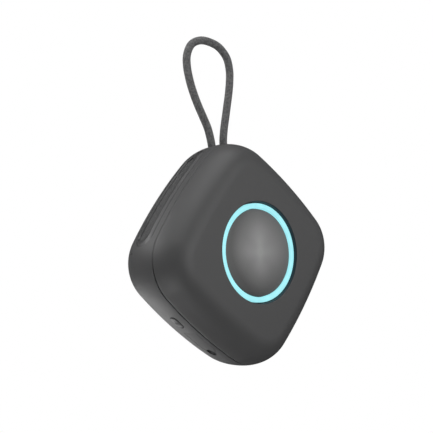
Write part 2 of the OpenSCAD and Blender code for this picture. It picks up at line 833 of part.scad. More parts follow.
// Flat flexible cable from the control board to the main board.
module control_ribbon() {
    x0 = battery_x - 6;
    color([0.85, 0.6, 0.2]) at_body() {
        translate([x0, board_y + board_t, battery_z + 8]) cube([7, 0.25, 4]);
        translate([x0, board_y + board_t, battery_z + 8]) cube([7, main_y - board_y - board_t, 0.25]);
    }
}

module microphone() {
    color(steel) at_body()
        translate([-half + mic_back, mic_y, mic_z]) rotate([0, 90, 0]) cylinder(r = 2, h = 1.6, $fn = 32);
}

// ---------------------------------------------------------------- hang cord
module on_legs() { for (s = [-1, 1]) translate([s * leg_x, leg_y, 0]) children(); }

module cord_bushes() {
    color(rubber) at_body() on_legs() difference() {
        translate([0, 0, bush_floor_z]) cylinder(r = bush_r - 0.02, h = bush_top - bush_floor_z, $fn = 32);
        translate([0, 0, block_z]) cylinder(r = cord_hole_r, h = 10, $fn = 24);
    }
}

module cord_bar() {
    color(steel) at_body() difference() {
        translate([-9, leg_y - 3.5, bar_z]) cube([18, 7, bar_t]);
        on_legs() translate([0, 0, bar_z - 1]) cylinder(r = cord_hole_r, h = bar_t + 2, $fn = 24);
    }
}

module cord_knots() {
    color([0.3, 0.3, 0.31]) at_body() on_legs() difference() {
        translate([0, 0, bar_z - knot_r]) sphere(r = knot_r, $fn = 32);
        translate([-5, -5, bar_z - knot_cut]) cube([10, 10, 5]);
    }
}

// The loop: one tube swept along the smooth route.
module hang_cord() {
    last = len(cord_path) - 1;
    tangents = [for (i = [0:last]) unit(cord_path[min(i + 1, last)] - cord_path[max(i - 1, 0)])];
    color([0.3, 0.3, 0.31]) at_body() translate([0, 0, half]) polyhedron(
        points = [for (i = [0:last]) let (side = unit(cross([0, 1, 0], tangents[i])))
            for (k = [0:cord_sides - 1]) let (a = 360 * (k + 0.5) / cord_sides)
                cord_path[i] + cord_d / 2 * (cos(a) * side + sin(a) * [0, 1, 0])],
        faces = concat(
            [[for (k = [0:cord_sides - 1]) k]],
            [for (i = [0:last - 1]) for (k = [0:cord_sides - 1]) let (m = (k + 1) % cord_sides)
                [i * cord_sides + k, (i + 1) * cord_sides + k, (i + 1) * cord_sides + m, i * cord_sides + m]],
            [[for (k = [cord_sides - 1:-1:0]) last * cord_sides + k]]));
}

front_shell();
rear_shell();
main_gasket();
rear_pad();
case_screws();
ring_seat();
light_ring();
control_disc();
keypad();
control_board();
ring_leds();
disc_switches();
outlet_trim_left();
outlet_trim_right();
outlet_mesh_left();
outlet_mesh_right();
power_button();
button_seal();
power_switch();
side_board();
charge_socket();
port_cover();
baffle();
driver_gasket();
driver_basket();
top_plate();
magnet();
yoke();
voice_coil();
spider();
cone();
surround();
dust_cap();
driver_screws();
battery();
battery_pad();
main_board();
board_chips();
board_screws();
battery_plug();
battery_leads();
speaker_leads();
control_ribbon();
microphone();
cord_bushes();
cord_bar();
cord_knots();
hang_cord();
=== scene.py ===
"""Visible pieces, finishes and stage of a hanging shower speaker, in the frame of its CAD model."""

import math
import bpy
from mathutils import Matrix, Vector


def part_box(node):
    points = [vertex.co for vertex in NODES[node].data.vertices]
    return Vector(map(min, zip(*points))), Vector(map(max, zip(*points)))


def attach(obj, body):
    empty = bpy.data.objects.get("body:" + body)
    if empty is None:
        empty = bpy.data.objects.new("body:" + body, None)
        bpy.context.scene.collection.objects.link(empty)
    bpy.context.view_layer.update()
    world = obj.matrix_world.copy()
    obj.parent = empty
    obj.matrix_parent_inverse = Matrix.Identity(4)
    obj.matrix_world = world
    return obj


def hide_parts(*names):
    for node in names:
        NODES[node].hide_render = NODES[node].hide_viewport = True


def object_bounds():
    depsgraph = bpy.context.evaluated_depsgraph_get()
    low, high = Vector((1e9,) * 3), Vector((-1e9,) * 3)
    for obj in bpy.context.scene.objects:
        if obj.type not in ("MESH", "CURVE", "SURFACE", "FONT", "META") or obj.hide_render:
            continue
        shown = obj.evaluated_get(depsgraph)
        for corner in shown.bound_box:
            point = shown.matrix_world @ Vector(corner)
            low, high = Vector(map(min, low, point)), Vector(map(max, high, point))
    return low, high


bl_info = {
    "name": "Shower Speaker",
    "version": (1, 0, 0),
    "blender": (4, 5, 0),
    "location": "View3D > Sidebar > Speaker",
    "description": "Builds the detailed pieces of a hanging shower speaker around its CAD frame",
    "category": "Add Mesh",
}

import bmesh
import bpy
import numpy as np
from bpy.props import FloatProperty, FloatVectorProperty, PointerProperty
from mathutils import Matrix, Vector

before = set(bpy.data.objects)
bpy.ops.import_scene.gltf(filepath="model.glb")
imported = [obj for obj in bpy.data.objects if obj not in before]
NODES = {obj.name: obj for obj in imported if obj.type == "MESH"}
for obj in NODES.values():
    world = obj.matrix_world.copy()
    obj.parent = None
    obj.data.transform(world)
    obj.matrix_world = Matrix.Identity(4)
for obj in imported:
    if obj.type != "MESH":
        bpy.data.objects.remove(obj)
CAD_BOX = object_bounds()
SHELL_LOW, SHELL_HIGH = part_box("rear_shell")
BODY_Z = (SHELL_LOW.z + SHELL_HIGH.z) / 2

LEFT_TOP, RIGHT_TOP, LEFT_BOTTOM = math.radians(135), math.radians(45), math.radians(225)

# Route of the cord's middle line, in millimetres: x, y, and z above the body's top tip.
CORD_ROUTE = (
    (-3.9, 1, -8.6), (-3.9, 1, -3), (-3.9, 1, 1.8), (-4.9, 1, 8.4), (-7, 1, 14.2), (-9.3, 1, 20),
    (-11.3, 1, 26.3), (-12.6, 1, 32.3), (-13.2, 1, 39.2), (-12.2, 1, 45.2), (-8.5, 1, 50.5), (-2.4, 1, 52.8),
    (3.9, 1, 52.2), (9.6, 1, 49.8), (13.8, 1, 44.7), (14.7, 1, 38.3), (13.7, 1, 32.1), (12, 1, 26.1),
    (9.8, 1, 19.7), (7.8, 1, 14), (5.6, 1, 7.6), (4.1, 1, 1.5), (3.9, 1, -3), (3.9, 1, -8.6),
)
CORD_STEP = 0.00021  # between two points on the finished cord
CORD_X, CORD_Y = abs(CORD_ROUTE[0][0]) / 1000, CORD_ROUTE[0][1] / 1000

# Inner places and clearances in metres, which no setting changes.
BUSH_FOOT = 0.0502  # lower end of the cord bushes, above the body's middle
BUSH_WALL = 0.0014
COLUMN_REACH = 0.036  # from the body's middle to each screw column
SOCKET_HOLE = (0.0112, 0.0052)  # length and width of the opening behind the port cover
PORT_GAP = 0.0002  # how much longer and wider the pocket is than the port cover
TRIM_GAP = 0.00012  # between the trim or the mesh and what surrounds it
THROUGH = 0.006  # depth of a cut that goes right through the shell
OFF_FORM = 0.00003  # how far a point may be from the body's form and still take its shading


# ---------------------------------------------------------------- settings
def metres(name, description, default):
    """A size."""
    return FloatProperty(name=name, description=description, default=default, unit="LENGTH")


def degrees(name, description, default):
    """An angle, whose default is given in degrees."""
    return FloatProperty(name=name, description=description, default=math.radians(default), subtype="ANGLE")


def tint(name, description, default):
    """A colour."""
    return FloatVectorProperty(name=name, description=description, default=default, size=3, subtype="COLOR")


class BodySettings(bpy.types.PropertyGroup):
    """Form of the two shells"""

    diag: metres("Diagonal", "Size of the body from corner to corner", 0.110)
    corner_r: metres("Corner Radius", "Radius of the rounded corners", 0.0235)
    side_r: metres("Side Radius", "Radius of the bowed sides", 0.220)
    front_depth: metres("Front Depth", "From the widest plane to the front face", 0.0205)
    rear_depth: metres("Rear Depth", "From the widest plane to the back face", 0.0247)
    front_edge: metres("Front Edge", "How far the rounding eats into the front face", 0.014)
    rear_edge: metres("Rear Edge", "How far the rounding eats into the back face", 0.016)
    wall: metres("Wall", "Thickness of the shells", 0.0022)
    seam: metres("Seam", "Distance of the seam in front of the widest plane", 0.0068)
    seam_gap: metres("Seam Gap", "Open width of the seam", 0.0004)
    seam_round: metres("Seam Rounding", "Radius of the shell edges along the seam", 0.00035)
    pad_depth: metres("Pad Recess", "Depth of the recess for the rear pad", 0.0009)
    color: tint("Shell Colour", "Colour of the soft-touch shells", (0.070, 0.070, 0.071))


class DiscSettings(bpy.types.PropertyGroup):
    """Lit ring and press disc"""

    ring_r: metres("Ring Radius", "Outer radius of the lit ring", 0.0238)
    ring_w: metres("Ring Width", "Width of the lit ring", 0.0025)
    recess: metres("Recess", "Depth of the lit ring below the face", 0.0012)
    ring_gap: metres("Ring Gap", "Gap between the ring and the front shell", 0.0006)
    slide_gap: metres("Slide Gap", "Gap between the ring and the disc", 0.0003)
    crown: metres("Crown", "Rise of the disc at its middle", 0.0011)
    glow: tint("Glow Colour", "Colour of the lit ring", (0.39, 0.93, 1.0))
    glow_strength: FloatProperty(name="Glow Strength", description="Brightness of the lit ring", default=0.93)
    color: tint("Disc Colour", "Colour of the spun disc", (0.185, 0.185, 0.185))


class OutletSettings(bpy.types.PropertyGroup):
    """Sound outlets on the two upper flanks"""

    length: metres("Length", "Length of an outlet along its flank", 0.060)
    width: metres("Width", "Width of an outlet in depth", 0.0133)
    front: metres("Front Edge", "Front edge, from the widest plane", -0.0033)
    depth: metres("Channel Depth", "Depth of the channel", 0.0010)
    window_length: metres("Window Length", "Length of the mesh window", 0.052)
    window_width: metres("Window Width", "Width of the mesh window", 0.0060)
    lip: metres("Rear Lip", "From the window to the rear edge", 0.0010)
    crest: metres("Crest", "Depth of the ridge of the trim below the flank", 0.00002)


class SideSettings(bpy.types.PropertyGroup):
    """Power button and port cover on the lower left flank"""

    button_len: metres("Button Length", "Length of the power button", 0.0078)
    button_w: metres("Button Width", "Width of the power button", 0.0044)
    button_t: metres("Button Place", "Centre of the button along the flank", -0.0085)
    button_y: metres("Button Depth Place", "Centre of the button in depth", 0.0008)
    button_proud: metres("Button Rise", "How far the button stands out", 0.0004)
    button_gap: metres("Button Gap", "Gap round the button", 0.00026)
    port_len: metres("Cover Length", "Length of the port cover", 0.017)
    port_w: metres("Cover Width", "Width of the port cover", 0.009)
    port_t: metres("Cover Place", "Centre of the cover along the flank", 0.0086)
    port_thick: metres("Cover Thickness", "Thickness of the port cover", 0.0016)
    notch_r: metres("Notch Radius", "Radius of the finger notch", 0.0031)
    notch_y: metres("Notch Depth Place", "Centre of the finger notch in depth", 0.0012)


class CordSettings(bpy.types.PropertyGroup):
    """Hang cord"""

    diameter: metres("Diameter", "Diameter of the braided cord", 0.004)
    plait: metres("Plait Depth", "Depth of the grooves between strands", 0.00014)
    pitch: metres("Plait Pitch", "Length of one turn of a strand", 0.0115)
    color: tint("Cord Colour", "Colour of the braid", (0.095, 0.095, 0.096))


class StageSettings(bpy.types.PropertyGroup):
    """Camera, floor and lights"""

    azimuth: degrees("Azimuth", "Side that the camera stands on", -40.982)
    elevation: degrees("Elevation", "Height angle of the camera", -0.494)
    roll: degrees("Roll", "Tilt of the camera about its own axis", -7.313)
    distance: metres("Distance", "From the camera to the body's middle", 0.38024)
    aside: metres("Aside", "How far the camera aims beside the body's middle", -0.008137)
    above: metres("Above", "How far the camera aims above the body's middle", 0.018952)
    lens: FloatProperty(name="Lens", description="Focal length in millimetres", default=63.52)
    floor_drop: metres("Floor Drop", "From the body's lowest point down to the floor", 0.6)
    paper: FloatProperty(name="Paper White", description="Brightness of the floor and its sweep", default=1.0)
    fill: FloatProperty(
        name="Room Fill", description="Share of the paper's light that reaches the object", default=0.06
    )


class SpeakerSettings(bpy.types.PropertyGroup):
    """All sizes and colours of the speaker"""

    body: PointerProperty(type=BodySettings)
    disc: PointerProperty(type=DiscSettings)
    outlet: PointerProperty(type=OutletSettings)
    side: PointerProperty(type=SideSettings)
    cord: PointerProperty(type=CordSettings)
    stage: PointerProperty(type=StageSettings)


def settings():
    """The speaker's settings on the current scene."""
    return bpy.context.scene.shower_speaker


# ---------------------------------------------------------------- form of the body
class Pillow:
    """Outer form of the body: a rounded square on its corner, domed to both sides."""

    power = 2 / 2.2

    def __init__(self, body):
        self.body = body
        self.corner_c = body.diag / 2 - body.corner_r
        bow = body.side_r - body.corner_r
        c = self.corner_c
        self.side_c = (-2 * c + math.sqrt(4 * c * c - 8 * (c * c - bow * bow))) / 4
        self.corner_a = math.atan2(self.side_c, c + self.side_c)
        self.apothem = body.side_r - self.side_c * math.sqrt(2)

    def outline(self, inset, y, corner_steps=28, side_steps=30):
        """One ring of the body at a depth, moved in by an inset."""
        r, s, a = self.body.corner_r - inset, self.body.side_r - inset, self.corner_a
        ca = np.linspace(-a, a, corner_steps, endpoint=False)
        sa = np.linspace(a, math.pi / 2 - a, side_steps, endpoint=False)
        x = np.concatenate([self.corner_c + r * np.cos(ca), -self.side_c + s * np.cos(sa)])
        z = np.concatenate([r * np.sin(ca), -self.side_c + s * np.sin(sa)])
        turns = [(x, z), (-z, x), (-x, -z), (z, -x)]
        x = np.concatenate([p[0] for p in turns])
        z = np.concatenate([p[1] for p in turns])
        return np.column_stack([x, np.full(len(x), y), z + BODY_Z])

    def level(self, y, inset=0.0):
        """Inset of the surface at a depth, for the form moved in by an inset."""
        depth, edge = self._side(y)
        s = min(abs(y) / (depth - inset), 1.0) ** (1 / self.power)
        return inset + edge * (1 - math.sqrt(1 - s * s) ** self.power)

    def _side(self, y):
        b = self.body
        return (b.front_depth, b.front_edge) if y < 0 else (b.rear_depth, b.rear_edge)

    def profile(self, y0, y1, steps, inset=0.0):
        """Depths and insets along the profile between two depths on one side of the widest plane."""
        depth, edge = self._side((y0 + y1) / 2)
        sign = -1.0 if y0 + y1 < 0 else 1.0
        t0, t1 = (math.asin(min(abs(y) / (depth - inset), 1.0) ** (1 / self.power)) for y in (y0, y1))
        t = np.linspace(t0, t1, steps)
        ys = sign * (depth - inset) * np.sin(t) ** self.power
        insets = inset + edge * (1 - np.clip(np.cos(t), 0, 1) ** self.power)
        return list(zip(ys.tolist(), insets.tolist()))

    def flank_height(self, t, y, depth=0.0):
        """How far a flank stands out at t along it and a depth y, less a depth below its surface."""
        b = self.body
        level = self.level(y)
        t = abs(t)
        corner = self.corner_c * math.sqrt(0.5)
        if t < (b.side_r - level) * math.sin(math.pi / 4 - self.corner_a):
            n = math.sqrt((b.side_r - level) ** 2 - t * t) - self.side_c * math.sqrt(2)
        else:
            n = corner + math.sqrt(max((b.corner_r - level) ** 2 - (t - corner) ** 2, 0.0))
        return n - depth

    def normals(self, points):
        """Outward directions of the surface at points, and their distance from it."""
        b = self.body
        x, y, z = points[:, 0], points[:, 1], points[:, 2] - BODY_Z
        ax, az = np.abs(x), np.abs(z)
        angle = np.arctan2(az + self.side_c, ax + self.side_c)
        on_side = (angle > self.corner_a) & (angle < math.pi / 2 - self.corner_a)
        to_x = ax > az
        cx = np.where(on_side, -self.side_c, np.where(to_x, self.corner_c, 0.0))
        cz = np.where(on_side, -self.side_c, np.where(to_x, 0.0, self.corner_c))
        radius = np.where(on_side, b.side_r, b.corner_r)
        dx, dz = ax - cx, az - cz
        length = np.maximum(np.hypot(dx, dz), 1e-9)
        inset = radius - length
        front = y < 0
        depth = np.where(front, b.front_depth, b.rear_depth)
        edge = np.where(front, b.front_edge, b.rear_edge)
        p = self.power
        s = np.clip(np.abs(y) / depth, 0, 1) ** (1 / p)
        c = np.sqrt(np.clip(1 - s * s, 0, 1))
        level = edge * (1 - c ** p)
        slope = np.abs(y) / depth
        rise = edge * c ** (p - 2 + 1e-12) * np.clip(slope, 1e-9, 1) ** (2 / p - 1) / depth
        flat = (inset >= edge - 1e-6) | (c < 1e-4)
        rise = np.where(flat, 1e6, rise)
        out = np.column_stack([dx / length * np.sign(x), rise * np.sign(y), dz / length * np.sign(z)])
        out /= np.linalg.norm(out, axis=1)[:, None]
        off = np.where(flat, np.abs(y) - depth, level - inset)
        return out, off


def flank_point(flank, n, t, y):
    """A point that stands n out of a flank, t along it, at depth y."""
    return (n * math.cos(flank) - t * math.sin(flank), y, n * math.sin(flank) + t * math.cos(flank) + BODY_Z)


# ---------------------------------------------------------------- mesh tools
def to_object(name, bm):
    """Turns a working mesh into an object of the scene."""
    mesh = bpy.data.meshes.new(name)
    bm.to_mesh(mesh)
    bm.free()
    piece = bpy.data.objects.new(name, mesh)
    bpy.context.scene.collection.objects.link(piece)
    return piece


def new_piece(name, points, faces):
    """A mesh object with its faces turned outward."""
    bm = bmesh.new()
    verts = [bm.verts.new(p) for p in points]
    for f in faces:
        try:
            bm.faces.new([verts[i] for i in f])
        except ValueError:
            continue
    bmesh.ops.remove_doubles(bm, verts=bm.verts, dist=1e-7)
    bmesh.ops.dissolve_degenerate(bm, edges=bm.edges, dist=1e-8)
    bmesh.ops.recalc_face_normals(bm, faces=bm.faces)
    return to_object(name, bm)


def loft(name, rings, ends="capped"):
    """Skin over rings of equal length; ends are capped, open, or joined into a closed tube."""
    count, size = len(rings), len(rings[0])
    faces = []
    for k in range(count if ends == "joined" else count - 1):
        a, b = k * size, (k + 1) % count * size
        faces += [(a + i, a + (i + 1) % size, b + (i + 1) % size, b + i) for i in range(size)]
    if ends == "capped":
        faces += [tuple(range(size)), tuple(range((count - 1) * size, count * size))]
    return new_piece(name, np.vstack(rings).tolist(), faces)


def full_turn(steps):
    """Angles of a full turn."""
    return np.linspace(0, 2 * math.pi, steps, endpoint=False)


def quarter(steps, start=0.0):
    """Angles of a quarter turn."""
    return np.linspace(start, math.pi / 2, steps)


def rounded(corners, closed=True, steps=5):
    """Polyline through (x, y, radius) corners, each corner rounded by its radius."""
    line, last = [], len(corners) - 1
    for i, (x, y, radius) in enumerate(corners):
        p = Vector((x, y))
        if radius <= 0 or (not closed and i in (0, last)):
            line.append(p)
            continue
        a = (Vector(corners[i - 1][:2]) - p).normalized()
        b = (Vector(corners[(i + 1) % len(corners)][:2]) - p).normalized()
        half = a.angle(b) / 2
        centre = p + (a + b).normalized() * (radius / math.sin(half))
        start = p + a * (radius / math.tan(half)) - centre
        end = p + b * (radius / math.tan(half)) - centre
        turn = math.copysign(math.pi - 2 * half, start.x * end.y - start.y * end.x)
        for k in range(steps + 1):
            w = turn * k / steps
            line.append(centre + Matrix.Rotation(w, 2) @ start)
    return line


def lathe(name, section, closed=True, steps=160, centre=(0.0, 0.0)):
    """Turns a section of (radius, depth) points about an axis along Y."""
    a = full_turn(steps)
    x, z = centre
    z += BODY_Z
    rings = [np.column_stack([x + r * np.cos(a), np.full(steps, y), z + r * np.sin(a)]) for r, y in section]
    return loft(name, rings, "joined" if closed else "open")


def upright(name, x, section, ends="capped", steps=40):
    """Turns a section of (radius, height above the body's middle) points about an end of the cord."""
    a = full_turn(steps)
    rings = []
    for r, z in section:
        rings.append(np.column_stack([x + r * np.cos(a), CORD_Y + r * np.sin(a), np.full(steps, BODY_Z + z)]))
    return loft(name, rings, ends)


def stadium(length, width, inset=0.0, end_steps=20, side_steps=40):
    """Outline of a round-ended bar as (t, y) pairs about its middle."""
    r = width / 2 - inset
    reach = (length - width) / 2
    a = np.linspace(-math.pi / 2, math.pi / 2, end_steps, endpoint=False)
    side = np.linspace(reach, -reach, side_steps, endpoint=False)
    up = np.column_stack([reach + r * np.cos(a), r * np.sin(a)])
    top = np.column_stack([side, np.full(side_steps, r)])
    return np.vstack([up, top, -up, -top])


def cover_outline(length, width, inset=0.0, corner=0.0008, steps=16):
    """Outline of a cover with one square end at low t and one round end, about its middle."""
    r = width / 2 - inset
    low = -length / 2 + inset
    mid = (length - width) / 2
    c = max(corner - inset * 0.5, 0.0002)
    a = np.linspace(-math.pi / 2, math.pi / 2, 2 * steps)
    b = np.linspace(math.pi / 2, math.pi, steps // 2)
    end = np.column_stack([mid + r * np.cos(a), r * np.sin(a)])
    top = np.column_stack([np.linspace(mid, low + c, steps)[1:-1], np.full(steps - 2, r)])
    turn = np.column_stack([low + c + c * np.cos(b), r - c + c * np.sin(b)])
    back = np.column_stack([np.full(6, low), np.linspace(r - c, -(r - c), 8)[1:-1]])
    return np.vstack([end, top, turn, back, (turn * (1, -1))[::-1], (top * (1, -1))[::-1]])


def flank_ring(pillow, flank, outline, at, depth):
    """An outline laid on a flank; depth is a number, or one for each point."""
    depth = np.broadcast_to(depth, len(outline))
    ring = []
    for (t, y), d in zip(outline + np.array(at), depth):
        ring.append(flank_point(flank, pillow.flank_height(t, y, d), t, y))
    return np.array(ring)


def flank_cutter(pillow, flank, shape, at, depth, inner=4):
    """A plug that cuts a pocket whose floor follows the flank. shape(inset) gives its outline."""
    rings = [flank_ring(pillow, flank, shape(0.0), at, -0.004)]
    reach = np.ptp(shape(0.0)[:, 1]) / 2
    rings += [flank_ring(pillow, flank, shape(reach * k / inner * 0.98), at, depth) for k in range(inner + 1)]
    return loft("cutter", rings)


def flank_turn(name, flank, at, section, ends="capped", steps=40):
    """Turns a section of (radius, height) points about an axis that stands on a flank."""
    t, y = at
    rings = [
        np.array([flank_point(flank, n, t + r * math.cos(w), y + r * math.sin(w)) for w in full_turn(steps)])
        for r, n in section
    ]
    return loft(name, rings, ends)


def ball(name, centre, radius):
    """A fine sphere, used as a cutter."""
    bm = bmesh.new()
    bmesh.ops.create_uvsphere(bm, u_segments=48, v_segments=32, radius=radius)
    bmesh.ops.translate(bm, verts=bm.verts, vec=centre)
    return to_object(name, bm)


def cut(piece, cutters):
    """Cuts other objects out of a piece, and removes them."""
    for other in cutters:
        step = piece.modifiers.new("cut", "BOOLEAN")
        step.operation, step.solver, step.object = "DIFFERENCE", "EXACT", other
    bpy.context.view_layer.update()
    result = piece.evaluated_get(bpy.context.evaluated_depsgraph_get())
    mesh = bpy.data.meshes.new_from_object(result)
    piece.modifiers.clear()
    piece.data = mesh
    for other in cutters:
        bpy.data.objects.remove(other)
    return piece


def join(piece, others):
    """Adds the meshes of other objects to a piece."""
    bm = bmesh.new()
    for o in (piece, *others):
        bm.from_mesh(o.data)
    bm.to_mesh(piece.data)
    bm.free()
    for o in others:
        bpy.data.objects.remove(o)
    return piece


def smooth(piece, angle=32):
    """Smooth shading, with edges sharper than an angle in degrees kept crisp."""
    piece.data.shade_smooth()
    piece.data.set_sharp_from_angle(angle=math.radians(angle))
    return piece


def shade_as(piece, pillow):
    """Gives faces that lie on the body's form that form's own normals."""
    smooth(piece)
    mesh = piece.data
    points = np.zeros(len(mesh.vertices) * 3)
    mesh.vertices.foreach_get("co", points)
    points = points.reshape(-1, 3)
    normals, off = pillow.normals(points)
    on_form = np.abs(off) < OFF_FORM
    corner = np.zeros(len(mesh.loops) * 3)
    mesh.corner_normals.foreach_get("vector", corner)
    corner = corner.reshape(-1, 3)
    owner = np.zeros(len(mesh.loops), int)
    mesh.loops.foreach_get("vertex_index", owner)
    near = np.einsum("ij,ij->i", corner, normals[owner]) > 0.985
    use = on_form[owner] & near
    corner[use] = normals[owner][use]
    mesh.normals_split_custom_set(corner.tolist())
    return piece


def place(piece, body, finish, slot, *nodes):
    """Lets a piece ride on a CAD body in place of its nodes, with a finish."""
    piece.data.materials.clear()
    piece.data.materials.append(finish)
    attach(piece, body)
    if nodes:
        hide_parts(*nodes)
    return piece


def dress(finish, *nodes):
    """Gives CAD nodes a finish."""
    for name in nodes:
        materials = NODES[name].data.materials
        materials.clear()
        materials.append(finish)
        smooth(NODES[name], 25)


# ---------------------------------------------------------------- finishes
class Value:
    """A number in a material. Arithmetic on it adds Math nodes."""

    def __init__(self, look, socket):
        self.look = look
        self.socket = socket

    def _math(self, operation, *terms):
        return self.look.node("ShaderNodeMath", {"operation": operation}, dict(enumerate(terms)))

    def __add__(self, other):
        return self._math("ADD", self, other)

    def __radd__(self, other):
        return self._math("ADD", other, self)

    def __sub__(self, other):
        return self._math("SUBTRACT", self, other)

    def __rsub__(self, other):
        return self._math("SUBTRACT", other, self)

    def __mul__(self, other):
        return self._math("MULTIPLY", self, other)

    def __rmul__(self, other):
        return self._math("MULTIPLY", other, self)

    def __truediv__(self, other):
        return self._math("DIVIDE", self, other)

    def __pow__(self, other):
        return self._math("POWER", self, other)

    def sine(self):
        return self._math("SINE", self)

    def size(self):
        return self._math("ABSOLUTE", self)


class Look:
    """A node material for one finish."""

    def __init__(self, name):
        self.material = bpy.data.materials.new(name)
        self.material.use_nodes = True
        self.tree = self.material.node_tree
        self.shader = self.tree.nodes["Principled BSDF"]

    def node(self, kind, setup=None, inputs=None, output=0):
        """Adds a node, sets it up, then fills its sockets with numbers or links."""
        made = self.tree.nodes.new(kind)
        for key, value in (setup or {}).items():
            if key == "stops":
                while len(made.color_ramp.elements) < len(value):
                    made.color_ramp.elements.new(0.5)
                for element, (position, grey) in zip(made.color_ramp.elements, value):
                    element.position, element.color = position, (grey, grey, grey, 1)
            else:
                setattr(made, key, value)
        for key, value in (inputs or {}).items():
            self.fill(made.inputs[key], value)
        return Value(self, made.outputs[output])

    def fill(self, socket, value):
        """Links a value to a socket, or sets the socket's own number."""
        if isinstance(value, Value):
            self.tree.links.new(value.socket, socket)
        elif socket.type == "RGBA":
            socket.default_value = (*value[:3], 1.0)
        else:
            socket.default_value = value

    def where(self):
        """Place on the piece, in metres."""
        return self.node("ShaderNodeTexCoord", output="Object")

    def placed(self, operation, other, output):
        """Vector maths between the place on the piece and another vector."""
        terms = {0: self.where(), 1: other}
        return self.node("ShaderNodeVectorMath", {"operation": operation}, terms, output)

    def along(self, direction, shift=0.0):
        """Distance along a direction."""
        dot = self.placed("DOT_PRODUCT", direction, "Value")
        return dot + shift if shift else dot

    def reach(self):
        """Distance from the disc's axis."""
        x, z = self.along((1, 0, 0)), self.along((0, 0, 1), -BODY_Z)
        return (x * x + z * z) ** 0.5

    def away(self, point):
        """Distance from a point."""
        return self.placed("DISTANCE", point, "Value")

    def noise(self, scale, detail=3.0, rough=0.5, stretch=None):
        """Noise whose spots are about 1 / scale metres wide."""
        vector = self.placed("MULTIPLY", stretch, 0) if stretch else self.where()
        inputs = {"Vector": vector, "Scale": scale, "Detail": detail, "Roughness": rough}
        return self.node("ShaderNodeTexNoise", {}, inputs, "Fac")

    def ramp(self, value, low, high, out_low=0.0, out_high=1.0):
        """Maps a value range onto another one, smoothly."""
        return self.node(
            "ShaderNodeMapRange", {"interpolation_type": "SMOOTHSTEP"},
            {"Value": value, "From Min": low, "From Max": high, "To Min": out_low, "To Max": out_high},
        )

    def mix(self, factor, first, second):
        """Colour between two colours."""
        return self.node("ShaderNodeMix", {"data_type": "RGBA"}, {0: factor, 6: first, 7: second}, 2)

    def bump(self, height, distance, strength=1.0):
        """Normal of a surface raised by a height of 0 to 1 times a distance."""
        inputs = {"Height": height, "Distance": distance, "Strength": strength}
        return self.node("ShaderNodeBump", {}, inputs, "Normal")

    def done(self, **sockets):
        """Fills the shader's sockets, named with underscores for blanks."""
        for key, value in sockets.items():
            self.fill(self.shader.inputs[key.replace("_", " ")], value)
        return self.material


# Near black, painted as shade into holes and hollows.
SHADE_BLACK = (0.004, 0.004, 0.005)
BOARD_MASK, BOARD_TRACE = (0.01, 0.09, 0.035), (0.02, 0.16, 0.06)


def darker(color, share):
    """A colour times a share, which makes it lighter above 1."""
    return tuple(c * share for c in color[:3])


def moulded(name, color, rough=0.5, grain=2200, depth=0.00002, gloss=0.5, spread=0.1, coat=0.0,
            painted_shade=None, painted_shade_color=SHADE_BLACK):
    """Moulded plastic or rubber with fine grain; the mask function, if given, gives where a second, darker
    colour is painted in as painted shade.
    """
    look = Look(name)
    cloud = look.noise(60, 4)
    grain_height = look.noise(grain, 2, 0.6)
    base = look.mix(cloud, darker(color, 1 - spread), darker(color, 1 + spread))
    # Painted shade: the darker colour is mixed in where the mask function says.
    if painted_shade:
        base = look.mix(painted_shade(look), base, painted_shade_color)
    return look.done(
        Base_Color=base,
        Roughness=rough + (cloud - 0.5) * 0.12 + (grain_height - 0.5) * 0.10,
        Specular_IOR_Level=gloss,
        Coat_Weight=coat,
        Coat_Roughness=0.35,
        Normal=look.bump(grain_height, depth),
    )


def glowing(name, color, strength):
    """Milky light guide with a light behind it."""
    look = Look(name)
    cloud = look.noise(240, 3)
    lit = look.mix(look.ramp(cloud, 0.3, 0.7), darker(color, 0.93), color)
    return look.done(
        Base_Color=look.mix(cloud, (0.03, 0.06, 0.065), (0.035, 0.07, 0.075)),
        Roughness=0.35 + cloud * 0.1,
        Emission_Color=lit,
        Emission_Strength=strength,
        Normal=look.bump(look.noise(1500, 2), 0.00001),
    )


def spun(name, color, radius):
    """Spun metal cap: fine rings, and a painted highlight in its colour: a soft cross, a bright heart and a
    lighter side.
    """
    look = Look(name)
    x = look.along((1, 0, 0))
    r = look.reach()
    lean = math.radians(7.6)
    across = look.along((math.cos(lean), 0, -math.sin(lean)), BODY_Z * math.sin(lean))
    along = look.along((math.sin(lean), 0, math.cos(lean)), -BODY_Z * math.cos(lean))
    spread = r + 0.004
    # Painted highlight: a bright heart set a little above the middle, and a soft cross along the two axes of
    # the disc.
    highlight_lane_x = look.ramp(along.size() / spread, 0.0, 0.5, 1.0, 0.0)
    highlight_lane_z = look.ramp(across.size() / spread, 0.0, 0.6, 1.0, 0.0)
    painted_heart_highlight = look.ramp(look.away((0.0002, -0.0195, BODY_Z + 0.0016)) / radius, 0.0, 1.24, 1.0, 0.0)
    cross = painted_heart_highlight * (0.74 + highlight_lane_z * 0.24 + highlight_lane_x * 0.14)
    turning = {"W": r, "Scale": 9000.0, "Detail": 3.0}
    rings = look.node("ShaderNodeTexNoise", {"noise_dimensions": "1D"}, turning, "Fac")
    streak = look.noise(700, 2)
    # The painted highlight, also lighter towards +x as painted side light, plus the real turning rings and
    # streaks.
    painted_highlight_and_grain = cross + x * 12.0 + (rings - 0.5) * 0.05 + (streak - 0.5) * 0.03
    return look.done(
        Base_Color=look.mix(painted_highlight_and_grain, darker(color, 0.42), darker(color, 1.85)),
        Metallic=0.25,
        Roughness=0.44 - painted_heart_highlight * 0.06 + (rings - 0.5) * 0.12,
        Normal=look.bump(rings, 0.000012),
    )


